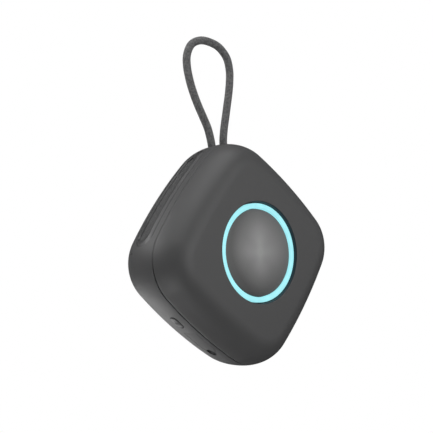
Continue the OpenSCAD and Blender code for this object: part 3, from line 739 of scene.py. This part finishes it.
def braided(name, color):
    """Plaited polyester: painted shade in the grooves between strands, lighter strand tops, and fine
    filaments.
    """
    look = Look(name)
    groove = look.node("ShaderNodeAttribute", {"attribute_name": "groove"}, output="Fac")
    fleck = look.ramp(look.noise(1000, 2, 0.6), 0.36, 0.64)
    cloud = look.noise(160, 2)
    # Painted shade: darker in the grooves between strands and lighter on their tops, from the strand height
    # kept on the mesh.
    base = look.mix(look.ramp(groove, 0.0, 0.75), darker(color, 0.35), darker(color, 1.15))
    return look.done(
        Base_Color=look.mix(fleck * 0.6, base, darker(color, 2.2)),
        Roughness=0.72 + cloud * 0.15,
        Specular_IOR_Level=0.35,
        Sheen_Weight=0.12,
        Sheen_Roughness=0.4,
        Normal=look.bump(fleck, 0.00006, 0.7),
    )


def woven(name, color, flank, pitch):
    """Fine woven mesh: two sets of crossing threads, with the holes between them painted near black as
    painted shade.
    """
    look = Look(name)
    t = look.along((-math.sin(flank), 0, math.cos(flank)))
    y = look.along((0, 1, 0))
    warp = ((t + y) * (math.pi / pitch)).sine().size()
    weft = ((t - y) * (math.pi / pitch)).sine().size()
    # Painted shade: the holes between threads are near black, as the dark inside seen through them.
    hole = look.ramp(warp, 0.25, 0.85) * look.ramp(weft, 0.25, 0.85)
    return look.done(
        Base_Color=look.mix(hole, darker(color, 1.6), SHADE_BLACK),
        Metallic=0.35,
        Roughness=0.5 + look.noise(1500) * 0.2,
        Normal=look.bump(1.0 - hole, 0.00012, 0.8),
    )


def metal(name, color, rough=0.32, scratch=(1, 1, 14)):
    """Bare metal with drawing marks and dull spots."""
    look = Look(name)
    marks = look.noise(900, 4, 0.6, scratch)
    spots = look.noise(120, 5, 0.65)
    return look.done(
        Base_Color=look.mix(spots, darker(color, 0.82), color),
        Metallic=1.0,
        Roughness=rough + (marks - 0.5) * 0.2 + (spots - 0.5) * 0.15,
        Normal=look.bump(marks, 0.00001),
    )


def board(name):
    """Circuit board: solder mask over copper runs, with bare pads."""
    look = Look(name)
    x, z = look.along((1, 0, 0)), look.along((0, 0, 1))
    bend = look.noise(180, 1) * 0.004
    runs = ((x + z + bend) * (math.pi / 0.0011)).sine().size()
    raised = look.ramp(runs, 0.72, 0.8)
    pad = look.ramp(look.noise(900, 0), 0.74, 0.76)
    base = look.mix(raised, BOARD_MASK, BOARD_TRACE)
    return look.done(
        Base_Color=look.mix(pad, base, (0.75, 0.62, 0.35)),
        Roughness=0.32 + look.noise(400) * 0.2,
        Metallic=pad * 0.8,
        Normal=look.bump(raised, 0.00003),
    )


def fibrous(name, color, rough=0.85):
    """Pressed paper or cloth: tangled fibres, dull."""
    look = Look(name)
    fibres = look.noise(1400, 6, 0.75)
    return look.done(
        Base_Color=look.mix(fibres, darker(color, 0.7), darker(color, 1.25)),
        Roughness=rough + (fibres - 0.5) * 0.2,
        Specular_IOR_Level=0.25,
        Normal=look.bump(fibres, 0.00008),
    )


def foamed(name, color):
    """Closed-cell foam."""
    look = Look(name)
    inputs = {"Vector": look.where(), "Scale": 1600.0}
    cells = look.node("ShaderNodeTexVoronoi", {"feature": "SMOOTH_F1"}, inputs, "Distance")
    return look.done(
        Base_Color=look.mix(cells, darker(color, 1.3), darker(color, 0.6)),
        Roughness=0.9 - cells * 0.1,
        Specular_IOR_Level=0.2,
        Normal=look.bump(cells, 0.00015),
    )


# ---------------------------------------------------------------- pieces
def shell_rings(pillow, edge_y, side):
    """Rings of a shell's rounded edge along the seam, from inside to outside; side is -1 in front."""
    b = pillow.body
    r = b.seam_round
    y = edge_y + side * r
    level = pillow.level(y) + r
    return [pillow.outline(level - r * math.sin(w), y - side * r * math.cos(w)) for w in quarter(5)]


def columns(radius, bore, y0, y1):
    """Four tubular screw columns on the arms of the body."""
    section = rounded([(bore, y0, 0), (radius, y0, 0.0003), (radius, y1, 0), (bore, y1, 0)], steps=3)
    centres = [(COLUMN_REACH * math.cos(w), COLUMN_REACH * math.sin(w)) for w in full_turn(4)]
    return [lathe("column", section, steps=32, centre=centre) for centre in centres]


def window_depth(outlet):
    """Place of the middle of the mesh window in depth."""
    return outlet.front + outlet.width - outlet.lip - outlet.window_width / 2


class SPEAKER_OT_shells(bpy.types.Operator):
    """Front and rear shell, with the seam, the disc opening and the side cut-outs"""

    bl_idname = "speaker.shells"
    bl_label = "Shells"

    def execute(self, context):
        s = settings()
        body, disc, outlet, side = s.body, s.disc, s.outlet, s.side
        pillow = Pillow(body)
        hole = disc.ring_r + disc.ring_gap
        coating = {"rough": 0.52, "gloss": 0.42, "spread": 0.04}
        # Painted shade, tinted blue as a painted spill of the ring's light, on the edge and wall of the disc
        # opening.
        wall = {"painted_shade": lambda look: look.ramp(look.reach(), hole + 0.0004, hole + 0.0001),
                "painted_shade_color": (0.007, 0.010, 0.018)}
        front = moulded("front_shell_paint", body.color, **coating, **wall)
        rear = moulded("rear_shell_paint", body.color, **coating, painted_shade=notch_shade(pillow, side))
        place(self.front(pillow, disc), "casing", front, "soft_shell", "front_shell")
        place(self.rear(pillow, outlet, side, s.cord), "casing", rear, "soft_shell", "rear_shell")
        dress(moulded("gasket_rubber", (0.012, 0.012, 0.013), rough=0.7), "main_gasket")
        dress(metal("screw_steel", (0.55, 0.55, 0.57)), "case_screws")
        self.pad(pillow)
        return {"FINISHED"}

    def front(self, pillow, disc):
        b = pillow.body
        face, inner = -b.front_depth, -b.front_depth + b.wall
        edge_y = -b.seam - b.seam_gap / 2
        hole = disc.ring_r + disc.ring_gap
        rings = shell_rings(pillow, edge_y, -1)
        rings += [pillow.outline(i, y) for y, i in pillow.profile(edge_y - b.seam_round, face, 30)][1:]
        rim = rings[-1]
        spokes = np.column_stack([rim[:, 0], np.zeros(len(rim)), rim[:, 2] - BODY_Z])
        spokes /= np.linalg.norm(spokes, axis=1)[:, None]

        def circle(radius, y):
            return spokes * radius + np.array([0, y, BODY_Z])

        r = 0.0006
        rings += [rim * (1 - w) + circle(hole + r, face) * w for w in (0.3, 0.6, 0.85, 1.0)]
        rings += [circle(hole + r - r * math.sin(w), face + r - r * math.cos(w)) for w in quarter(7)[1:]]
        rings += [circle(hole, inner), circle(hole + 0.004, inner)]
        rings += [pillow.outline(i, y) for y, i in pillow.profile(inner, edge_y, 14, b.wall)]
        shell = loft("front_shell_skin", rings, "joined")
        shade_as(shell, pillow)
        return join(shell, columns(0.003, 0.00092, inner - 0.0002, 0.001))

    def rear(self, pillow, outlet, side, cord):
        b = pillow.body
        edge_y = -b.seam + b.seam_gap / 2
        back, pad = b.rear_depth, b.rear_edge + 0.001
        inner = back - b.wall
        rings = [pillow.outline(i, y) for y, i in pillow.profile(0, inner, 16, b.wall)][::-1]
        rings += [pillow.outline(i, y) for y, i in pillow.profile(edge_y, 0, 6, b.wall)][::-1][1:]
        rings += shell_rings(pillow, edge_y, 1)
        rings += [pillow.outline(i, y) for y, i in pillow.profile(edge_y + b.seam_round, -1e-6, 10)][1:]
        rings += [pillow.outline(i, y) for y, i in pillow.profile(1e-6, back, 34)]
        r = 0.0003
        rings += [pillow.outline(pad - r + r * math.sin(w), back - r + r * math.cos(w)) for w in quarter(4)]
        rings += [pillow.outline(pad, back - b.pad_depth), pillow.outline(pad + 0.006, back - b.pad_depth)]
        shell = loft("rear_shell_skin", rings)
        cut(shell, self.cutters(pillow, outlet, side, cord))
        shade_as(shell, pillow)
        tongue = self.tongue(pillow, pillow.level(edge_y), edge_y + b.seam_round + 0.0001)
        return join(shell, [tongue, *columns(0.0033, 0.00115, 0.003, inner + 0.0002)])

    def tongue(self, pillow, level, y):
        """Lip behind the seam: near the surface in the upper half, deeper in the lower half."""
        upper, lower, inside, length, blend = 0.00016, 0.0006, 0.0013, 0.0012, 0.012
        section = ((upper, lower, 0), (upper, lower, length), (inside, inside, length), (inside, inside, 0))
        rings = []
        for high, low, d in section:
            near, far = pillow.outline(level + high, y - d), pillow.outline(level + low, y - d)
            share = np.clip((BODY_Z + blend / 2 - near[:, 2:]) / blend, 0, 1)
            rings.append(near * (1 - share) + far * share)
        return smooth(loft("tongue", rings, "joined"))

    def cutters(self, pillow, outlet, side, cord):
        middle, window = (0.0, outlet.front + outlet.width / 2), (0.0, window_depth(outlet))
        key, port = (side.button_t, side.button_y), (side.port_t, 0.0)
        gap = 2 * side.button_gap
        pockets = []
        for flank in (LEFT_TOP, RIGHT_TOP):
            pockets += [
                (flank, lambda i: stadium(outlet.length, outlet.width, i), middle, outlet.depth, 8),
                (flank, lambda i: stadium(outlet.window_length, outlet.window_width, i), window, THROUGH),
            ]
        lid = lambda i: cover_outline(side.port_len + PORT_GAP, side.port_w + PORT_GAP, i)
        pockets += [
            (LEFT_BOTTOM, lambda i: stadium(side.button_len + gap, side.button_w + gap, i), key, THROUGH),
            (LEFT_BOTTOM, lid, port, side.port_thick),
            (LEFT_BOTTOM, lambda i: stadium(*SOCKET_HOLE, i), port, THROUGH),
        ]
        made = [flank_cutter(pillow, *pocket) for pocket in pockets]
        made.append(notch(pillow, side))
        bore = cord.diameter / 2 + BUSH_WALL + 0.00005
        made += [upright("bore", x, [(bore, BUSH_FOOT), (bore, 0.058)]) for x in (-CORD_X, CORD_X)]
        pin_hole = [(0.0006, 0.048), (0.0006, 0.057)]
        made.append(flank_turn("pin_hole", math.pi, (-0.0073, 0.0122), pin_hole, steps=20))
        return made

    def pad(self, pillow):
        b = pillow.body
        pad, back = b.rear_edge + 0.00115, b.rear_depth
        low, high, r = back - b.pad_depth, back + 0.0003, 0.00045
        rings = [pillow.outline(pad + 0.004, low), pillow.outline(pad, low)]
        rings += [pillow.outline(pad + r - r * math.cos(w), high - r + r * math.sin(w)) for w in quarter(6)]
        groove = high - 0.00025
        for inset, y in ((0.0022, high), (0.0026, groove), (0.0038, groove), (0.0042, high), (0.0052, high)):
            rings.append(pillow.outline(pad + inset, y))
        piece = smooth(loft("rear_pad_skin", rings), 40)
        rubber = moulded("pad_rubber", (0.030, 0.030, 0.031), rough=0.75, depth=0.00004)
        place(piece, "casing", rubber, "rubber", "rear_pad")


def notch_at(pillow, side):
    """Centre of the finger notch at the free end of the port cover."""
    out, end = pillow.apothem + 0.0009, side.port_t + side.port_len / 2 + 0.0002
    return flank_point(LEFT_BOTTOM, out, end, side.notch_y)


def notch(pillow, side):
    """Ball that scoops the finger notch."""
    return ball("notch", notch_at(pillow, side), side.notch_r)


def notch_shade(pillow, side):
    """Shade inside the finger notch."""
    centre, r = notch_at(pillow, side), side.notch_r
    return lambda look: look.ramp(look.away(centre), r + 0.00012, r + 0.00004)


class SPEAKER_OT_control(bpy.types.Operator):
    """Lit ring, its seat and the spun press disc"""

    bl_idname = "speaker.control"
    bl_label = "Control Disc"

    def execute(self, context):
        s = settings()
        d, face = s.disc, -s.body.front_depth
        ring_y = face + d.recess
        seat_y = ring_y + 0.0024
        inner = d.ring_r - d.ring_w
        bead = d.ring_w / 2
        squareness, rise = 0.6, 0.0007
        top = []
        for w in np.linspace(0, math.pi, 19):
            out = math.copysign(abs(math.cos(w)) ** squareness, math.cos(w))
            top.append((d.ring_r - bead - bead * out, ring_y + rise * (1 - math.sin(w) ** squareness)))
        ring = smooth(lathe("light_ring_bead", [(inner, seat_y), *top, (d.ring_r, seat_y)]))
        place(ring, "casing", glowing("light_guide", d.glow, d.glow_strength), "light_guide", "light_ring")

        disc_y = ring_y + 0.0008
        rim = inner - d.slide_gap
        back = seat_y - 0.0006
        skirt, skirt_wall, skirt_y = rim - 0.0014, 0.0012, seat_y + 0.0007
        crown = [(rim * u, disc_y - d.crown * (1 - u * u)) for u in np.linspace(0, 0.985, 24)]
        r = 0.00022
        edge = [(rim - r + r * math.sin(w), disc_y + r - r * math.cos(w)) for w in quarter(5, 0.3)]
        under = [(rim, back), (skirt, back), (skirt, skirt_y), (skirt - skirt_wall, skirt_y),
                 (skirt - skirt_wall, back), (0.0, back)]
        cap = smooth(lathe("spun_cap", [*crown, *edge, *under], closed=False, steps=192))
        join(cap, self.posts(back, seat_y + 0.00145))
        place(cap, "disc", spun("spun_disc", d.color, rim), "disc_cap", "control_disc")

        dress(moulded("seat_plastic", (0.02, 0.021, 0.023), rough=0.42), "ring_seat")
        dress(moulded("keypad_rubber", (0.035, 0.035, 0.037), rough=0.7), "keypad")
        dress(board("control_board_mask"), "control_board")
        dress(moulded("led_lens", (0.85, 0.85, 0.78), rough=0.25, coat=0.4), "ring_leds")
        dress(metal("switch_steel", (0.62, 0.62, 0.64), 0.28), "disc_switches")
        return {"FINISHED"}

    def posts(self, back, tip):
        """Five pins under the cap, one over each switch."""
        r, reach = 0.0016, 0.011
        pin = rounded([(r, back, 0), (r, tip, 0.0003), (0.0, tip, 0)], closed=False, steps=3)
        section = [(0.0, back - 0.0002), (r, back - 0.0002), *pin]
        turns = np.radians((45, 135, 225, 315))
        places = [(0.0, 0.0), *((reach * math.cos(w), reach * math.sin(w)) for w in turns)]
        return [smooth(lathe("post", section, closed=False, steps=32, centre=at)) for at in places]


class SPEAKER_OT_outlets(bpy.types.Operator):
    """Trim strip and woven mesh of the two sound outlets"""

    bl_idname = "speaker.outlets"
    bl_label = "Sound Outlets"

    def execute(self, context):
        s = settings()
        o = s.outlet
        pillow = Pillow(s.body)
        # The trim takes painted shade in its front line and in the channel behind its ridge.
        trim = moulded("trim_plastic", darker(s.body.color, 1.25), rough=0.44, gloss=0.45, spread=0.05,
                       painted_shade=self.painted_hollow_shade, painted_shade_color=(0.042, 0.042, 0.043))
        for side, flank in (("left", LEFT_TOP), ("right", RIGHT_TOP)):
            piece = self.trim(pillow, flank, o, f"outlet_trim_{side}_skin")
            place(piece, "casing", trim, "soft_shell", f"outlet_trim_{side}")
            piece = self.screen(pillow, flank, o, f"outlet_screen_{side}")
            cloth = woven(f"woven_screen_{side}", (0.085, 0.085, 0.086), flank, 0.0007)
            place(piece, "casing", cloth, "woven_mesh", f"outlet_mesh_{side}")
        return {"FINISHED"}

    def painted_hollow_shade(self, look):
        """Shade in the front line and in the channel behind the ridge."""
        y = look.along((0, 1, 0))
        return look.ramp(y, -0.0017, -0.0021) + look.ramp(y, 0.0002, 0.0006) - look.ramp(y, 0.0089, 0.0092)

    def trim(self, pillow, flank, o, name):
        """Ring between the outlet's edge and the mesh window, with a ridge in front and a flat rear lip."""
        middle = o.front + o.width / 2
        outer = stadium(o.length - 2 * TRIM_GAP, o.width - 2 * TRIM_GAP) + (0.0, middle)
        inner = stadium(o.window_length, o.window_width) + (0.0, window_depth(o))
        behind = np.clip((outer[:, 1] - middle) / (o.width / 2), -1, 1) * 0.5 + 0.5
        behind = behind * behind * (3 - 2 * behind)
        shares = np.concatenate([[0.0, 0.012, 0.03], np.linspace(0.05, 0.97, 47), [0.985, 1.0]])
        rings = [flank_ring(pillow, flank, outer, (0, 0), o.depth)]
        for u in shares:
            front = np.interp(u, (0.0, 0.05, 0.10, 0.38, 0.44, 0.50, 0.53, 0.62, 1.0),
                              (0.00095, 0.0009, 0.00065, 0.00012, o.crest, o.crest, 0.0002, 0.0009, 0.00098))
            rear = np.interp(u, (0.0, 0.2, 0.5, 1.0), (0.0003, 0.00012, 0.0003, 0.001))
            line = outer * (1 - u) + inner * u
            taper = np.clip((o.length / 2 - 0.0005 - np.abs(line[:, 0])) / 0.006, 0.2, 1)
            depth = (front * (1 - behind) + rear * behind) * taper
            rings.append(flank_ring(pillow, flank, line, (0, 0), depth))
        rings.append(flank_ring(pillow, flank, inner, (0, 0), o.depth + 0.00005))
        return smooth(loft(name, rings, "joined"), 50)

    def screen(self, pillow, flank, o, name):
        """Sheet of mesh in its window, from the middle of its back to the middle of its face."""
        back, face = 0.0015, 0.0011
        levels = [(back, i) for i in (0.0024, 0.0012, 0.0)]
        levels += [(face, i) for i in (0.0, 0.0006, 0.0012, 0.0018, 0.0024, 0.00285)]
        at = (0.0, window_depth(o))
        rings = []
        for depth, i in levels:
            shape = stadium(o.window_length - 2 * TRIM_GAP, o.window_width - 2 * TRIM_GAP, i)
            rings.append(flank_ring(pillow, flank, shape, at, depth))
        return smooth(loft(name, rings), 40)


class SPEAKER_OT_side(bpy.types.Operator):
    """Power button, port cover and what lies behind them"""

    bl_idname = "speaker.side"
    bl_label = "Side Controls"

    def execute(self, context):
        s = settings()
        pillow = Pillow(s.body)
        shell = moulded("button_plastic", s.body.color, rough=0.44, spread=0.05)
        place(self.button(pillow, s.side), "power_key", shell, "soft_shell", "power_button")
        rubber = moulded("cover_rubber", darker(s.body.color, 0.98), rough=0.56, gloss=0.4, spread=0.04,
                         painted_shade=notch_shade(pillow, s.side))
        place(self.cover(pillow, s.side), "cover", rubber, "rubber", "port_cover")
        dress(moulded("seal_rubber", (0.02, 0.02, 0.021), rough=0.7), "button_seal")
        dress(metal("socket_steel", (0.6, 0.6, 0.62), 0.25), "charge_socket")
        dress(metal("key_switch_steel", (0.55, 0.55, 0.57)), "power_switch")
        dress(board("side_board_mask"), "side_board")
        return {"FINISHED"}

    def button(self, pillow, side):
        """Oval cap with a rounded edge and a raised ring and bar on it."""
        at = (side.button_t, side.button_y)
        top = pillow.flank_height(side.button_t, 0.0) + side.button_proud
        r, crown, reach = 0.0006, 0.0001, 0.0025
        levels = [(0.0, pillow.apothem - 0.0072), (0.0, top - crown - r)]
        levels += [(r - r * math.cos(w), top - crown - r + r * math.sin(w)) for w in quarter(6, 0.2)]
        levels += [(i, top - crown + crown * (i / reach)) for i in (0.001, 0.0015, 0.002, 0.0024)]
        cap = self.raised("power_key_cap", levels,
                          lambda i: stadium(side.button_len, side.button_w, i, 16, 10) + at)
        low, high = top - 0.00012, top + 0.00008
        near, far = 0.00105, 0.00125
        section = [(near, low), (near, high), (far, high), (far, low)]
        ring = smooth(flank_turn("mark", LEFT_BOTTOM, at, section, "joined"))
        bar = self.raised("bar", [(0.0, low), (0.0, high)], lambda i: stadium(0.0009, 0.00022, i, 6, 2) + at)
        return join(cap, [ring, bar])

    def raised(self, name, levels, shape):
        """A plug on the flank, from the (inset, height) levels of an outline."""
        rings = [np.array([flank_point(LEFT_BOTTOM, n, t, y) for t, y in shape(i)]) for i, n in levels]
        return smooth(loft(name, rings))

    def cover(self, pillow, side):
        """Lid with a rounded edge and the finger notch, and the plug under it."""
        r, face = 0.00025, 0.00003
        levels = [(i, side.port_thick - 0.00005) for i in (0.004, 0.002, 0.0)]
        levels += [(r - r * math.cos(w), face + r - r * math.sin(w)) for w in quarter(5)]
        levels += [(i, face) for i in (0.0008, 0.0016, 0.0025, 0.0034, 0.0042)]
        lid = self.sunk("port_cover_skin", pillow, (side.port_t, 0.0), levels,
                        lambda i: cover_outline(side.port_len, side.port_w, i))
        smooth(cut(lid, [notch(pillow, side)]))
        levels = [(0.0, 0.0014), (0.0, 0.0024), (0.0003, 0.0026), (0.0012, 0.0026), (0.002, 0.0026)]
        plug = self.sunk("plug", pillow, (side.port_t + 0.0003, 0.0), levels,
                         lambda i: stadium(0.0104, 0.0046, i, 12, 6))
        return join(lid, [plug])

    def sunk(self, name, pillow, at, levels, shape):
        """A piece that follows the flank, from the (inset, depth) levels of an outline."""
        rings = [flank_ring(pillow, LEFT_BOTTOM, shape(i), at, depth) for i, depth in levels]
        return smooth(loft(name, rings))


class SPEAKER_OT_cord(bpy.types.Operator):
    """Braided hang cord, its two bushes, the bar and the knots inside"""

    bl_idname = "speaker.cord"
    bl_label = "Hang Cord"

    def execute(self, context):
        s = settings()
        path = self.route(s.body, CORD_STEP)
        cord = self.braid(path, s.cord)
        place(cord, "casing", braided("braid", s.cord.color), "braid", "hang_cord")
        rubber = moulded("bush_rubber", darker(s.body.color, 0.9), rough=0.6, depth=0.00003)
        bushes = [self.bush(x, s) for x in (-CORD_X, CORD_X)]
        place(join(bushes[0], bushes[1:]), "casing", rubber, "rubber", "cord_bushes")
        dress(metal("bar_steel", (0.6, 0.6, 0.62)), "cord_bar")
        dress(braided("knot_braid", s.cord.color), "cord_knots")
        return {"FINISHED"}

    def route(self, body, step):
        """The cord's middle line in metres, with points a step apart."""
        p = np.array(CORD_ROUTE, float) / 1000 + (0, 0, body.diag / 2 + BODY_Z)
        p = np.vstack([p[:1], p, p[-1:]])
        fine = []
        for i in range(1, len(p) - 2):
            p0, p1, p2, p3 = p[i - 1 : i + 3]
            for u in np.linspace(0, 1, 60, endpoint=False):
                fine.append(0.5 * (2 * p1 + (p2 - p0) * u + (2 * p0 - 5 * p1 + 4 * p2 - p3) * u * u
                                   + (3 * p1 - p0 - 3 * p2 + p3) * u ** 3))
        fine = np.array([*fine, p[-2]])
        run = np.concatenate([[0], np.cumsum(np.linalg.norm(np.diff(fine, axis=0), axis=1))])
        at = np.linspace(0, run[-1], int(run[-1] / step))
        return np.column_stack([np.interp(at, run, fine[:, k]) for k in range(3)])

    def braid(self, path, cord, around=64, strands=10):
        tangent = np.gradient(path, axis=0)
        tangent /= np.linalg.norm(tangent, axis=1)[:, None]
        depth = np.array([0.0, 1.0, 0.0])
        run = np.concatenate([[0], np.cumsum(np.linalg.norm(np.diff(path, axis=0), axis=1))])
        turn = np.linspace(0, 1, around, endpoint=False)
        rings, grooves = [], []
        for p, direction, s in zip(path, tangent, run):
            across = np.cross(depth, direction)
            across /= np.linalg.norm(across)
            a = turn * strands + s / cord.pitch * strands
            b = turn * strands - s / cord.pitch * strands
            over = (np.floor(a) + np.floor(b)) % 2 < 1
            u, v = np.where(over, a, b) % 1, np.where(over, b, a) % 1
            height = np.sin(math.pi * u) ** 0.7 * (0.55 + 0.45 * np.sin(math.pi * v))
            radius = cord.diameter / 2 - cord.plait * (1 - height)
            w = turn * 2 * math.pi
            rings.append(p + (radius * np.cos(w))[:, None] * across + (radius * np.sin(w))[:, None] * depth)
            grooves.append(height)
        piece = loft("hang_cord_braid", rings)
        # Strand heights, kept on the mesh for the painted shade in the grooves.
        layer = piece.data.attributes.new("groove", "FLOAT", "POINT")
        layer.data.foreach_set("value", np.concatenate(grooves).astype(np.float32))
        return smooth(piece, 80)

    def bush(self, x, s):
        bore, outer = s.cord.diameter / 2 + 0.00006, s.cord.diameter / 2 + BUSH_WALL
        low, high = BUSH_FOOT, s.body.diag / 2 - 0.001
        corners = [(bore, low, 0), (outer, low, 0.0002), (outer, high, 0.0004), (bore, high, 0.0005)]
        section = rounded(corners)
        return smooth(upright("cord_bush_pair", x, section, "joined", 64))


class SPEAKER_OT_inside(bpy.types.Operator):
    """Finishes of the loudspeaker, the battery and the electronics"""

    bl_idname = "speaker.inside"
    bl_label = "Inner Parts"

    def execute(self, context):
        dress(moulded("baffle_plastic", (0.025, 0.025, 0.027), rough=0.6), "baffle")
        dress(foamed("gasket_foam", (0.02, 0.02, 0.02)), "driver_gasket", "battery_pad")
        dress(metal("pressed_steel", (0.56, 0.56, 0.58), 0.38), "driver_basket", "top_plate", "yoke")
        dress(metal("fine_steel", (0.62, 0.62, 0.64), 0.28), "driver_screws", "board_screws", "microphone")
        dress(moulded("ferrite", (0.03, 0.031, 0.035), rough=0.5, grain=4200, depth=0.00005), "magnet")
        dress(metal("coil_copper", (0.78, 0.36, 0.16), 0.3, (1, 60, 1)), "voice_coil")
        dress(fibrous("spider_cloth", (0.62, 0.48, 0.16), rough=0.8), "spider")
        dress(fibrous("cone_paper", (0.045, 0.045, 0.047)), "cone")
        dress(moulded("surround_rubber", (0.018, 0.018, 0.019), rough=0.55), "surround")
        dress(moulded("dust_cap_film", (0.03, 0.03, 0.032), rough=0.35), "dust_cap")
        dress(moulded("battery_wrap", (0.42, 0.44, 0.48), rough=0.3, coat=0.3, spread=0.05), "battery")
        dress(board("main_board_mask"), "main_board")
        dress(moulded("chip_resin", (0.018, 0.018, 0.019), rough=0.55, grain=5200), "board_chips")
        dress(moulded("plug_nylon", (0.82, 0.79, 0.68), rough=0.45), "battery_plug")
        dress(moulded("wire_jacket", (0.42, 0.02, 0.02), rough=0.35), "battery_leads", "speaker_leads")
        dress(moulded("flex_film", (0.62, 0.33, 0.06), rough=0.3, coat=0.5), "control_ribbon")
        return {"FINISHED"}


class SPEAKER_OT_stage(bpy.types.Operator):
    """Camera, pale floor with its sweep, and soft lights"""

    bl_idname = "speaker.stage"
    bl_label = "Stage"

    # Name, direction from the body (x, y, z), distance, width, height, power.
    softboxes = (
        ("top", (-0.1, -0.2, 1.0), 0.55, 0.45, 0.45, 1.85),
        ("front", (0.20, -1.0, 0.15), 0.60, 0.50, 0.50, 2.05),
        ("right", (0.90, -0.60, 0.10), 0.60, 0.45, 0.45, 0.25),
        ("rim_high", (-0.75, 0.60, 0.75), 0.50, 0.40, 0.25, 1.2),
        ("rim_low", (-0.16, 0.84, -0.54), 0.50, 0.40, 0.25, 0.7),
        ("low", (-0.80, -0.05, -0.75), 0.50, 0.40, 0.30, 1.1),
    )

    def execute(self, context):
        st = settings().stage
        self.camera(context, st)
        self.floor(st)
        context.scene.view_settings.view_transform = "Standard"
        world = bpy.data.worlds.new("room")
        world.use_nodes = True
        world.node_tree.nodes["Background"].inputs["Color"].default_value = (1, 1, 1, 1)
        world.node_tree.nodes["Background"].inputs["Strength"].default_value = st.fill
        context.scene.world = world
        for name, direction, distance, width, height, power in self.softboxes:
            self.softbox(context, name, Vector(direction).normalized() * distance, width, height, power)
        return {"FINISHED"}

    def camera(self, context, st):
        sin, cos = math.sin, math.cos
        az, el, roll = st.azimuth, st.elevation, st.roll
        back = Vector((sin(az) * cos(el), -cos(az) * cos(el), sin(el)))
        right = Vector((cos(az), sin(az), 0))
        up = back.cross(right)
        across = right * cos(roll) + up * sin(roll)
        upward = up * cos(roll) - right * sin(roll)
        data = bpy.data.cameras.new("camera")
        data.lens, data.sensor_width = st.lens, 36.0
        data.clip_start = 0.01
        camera = bpy.data.objects.new("camera", data)
        place_at = Vector((0, 0, BODY_Z)) + back * st.distance + across * st.aside + upward * st.above
        turn = Matrix((across, upward, back)).transposed().to_4x4()
        camera.matrix_world = Matrix.Translation(place_at) @ turn
        context.scene.collection.objects.link(camera)
        context.scene.camera = camera

    def floor(self, st):
        low = CAD_BOX[0].z - st.floor_drop
        reach, high, bend = 2.6, low + 4.5, 0.9
        corners = [(0.0, low, 0), (reach, low, bend), (reach, high, bend), (0.0, high, 0)]
        a = full_turn(96)
        rings = [
            np.column_stack([r * np.cos(a), r * np.sin(a), np.full(len(a), z)])
            for r, z in rounded(corners, closed=False, steps=16)
        ]
        room = smooth(loft("floor", rings, "open"), 60)
        look = Look("paper")
        path = look.node("ShaderNodeLightPath", output="Is Camera Ray")
        glow = look.node("ShaderNodeEmission", {}, {"Color": (1, 1, 1), "Strength": 1.0})
        look.fill(glow.socket.node.inputs["Strength"], path * (st.paper - st.fill) + st.fill)
        output = look.tree.nodes["Material Output"]
        look.tree.links.new(glow.socket, output.inputs["Surface"])
        room.data.materials.append(look.material)

    def softbox(self, context, name, offset, width, height, power):
        data = bpy.data.lights.new(name, "AREA")
        data.shape, data.size, data.size_y, data.energy = "RECTANGLE", width, height, power
        light = bpy.data.objects.new(name, data)
        light.location = Vector((0, 0, BODY_Z)) + offset
        light.rotation_mode = "QUATERNION"
        light.rotation_quaternion = offset.to_track_quat("Z", "Y")
        light.visible_camera = False
        context.scene.collection.objects.link(light)


# ---------------------------------------------------------------- add-on
OPERATORS = (SPEAKER_OT_stage, SPEAKER_OT_cord, SPEAKER_OT_shells, SPEAKER_OT_control, SPEAKER_OT_outlets,
             SPEAKER_OT_side, SPEAKER_OT_inside)


class SPEAKER_PT_panel(bpy.types.Panel):
    """Steps and sizes of the speaker"""

    bl_idname = "SPEAKER_PT_panel"
    bl_label = "Shower Speaker"
    bl_space_type = "VIEW_3D"
    bl_region_type = "UI"
    bl_category = "Speaker"

    def draw(self, context):
        for step in OPERATORS:
            self.layout.operator(step.bl_idname)
        speaker = context.scene.shower_speaker
        for group in (speaker.body, speaker.disc, speaker.outlet, speaker.side, speaker.cord, speaker.stage):
            box = self.layout.box()
            box.label(text=group.bl_rna.description)
            for name in group.__annotations__:
                box.prop(group, name)


CLASSES = (BodySettings, DiscSettings, OutletSettings, SideSettings, CordSettings, StageSettings,
           SpeakerSettings, *OPERATORS, SPEAKER_PT_panel)


def register():
    for cls in CLASSES:
        bpy.utils.register_class(cls)
    bpy.types.Scene.shower_speaker = PointerProperty(type=SpeakerSettings)


def unregister():
    del bpy.types.Scene.shower_speaker
    for cls in reversed(CLASSES):
        bpy.utils.unregister_class(cls)


def main():
    register()
    bpy.ops.speaker.stage()
    bpy.ops.speaker.cord()
    bpy.ops.speaker.shells()
    bpy.ops.speaker.control()
    bpy.ops.speaker.outlets()
    bpy.ops.speaker.side()
    bpy.ops.speaker.inside()


if __name__ == "__main__":
    main()
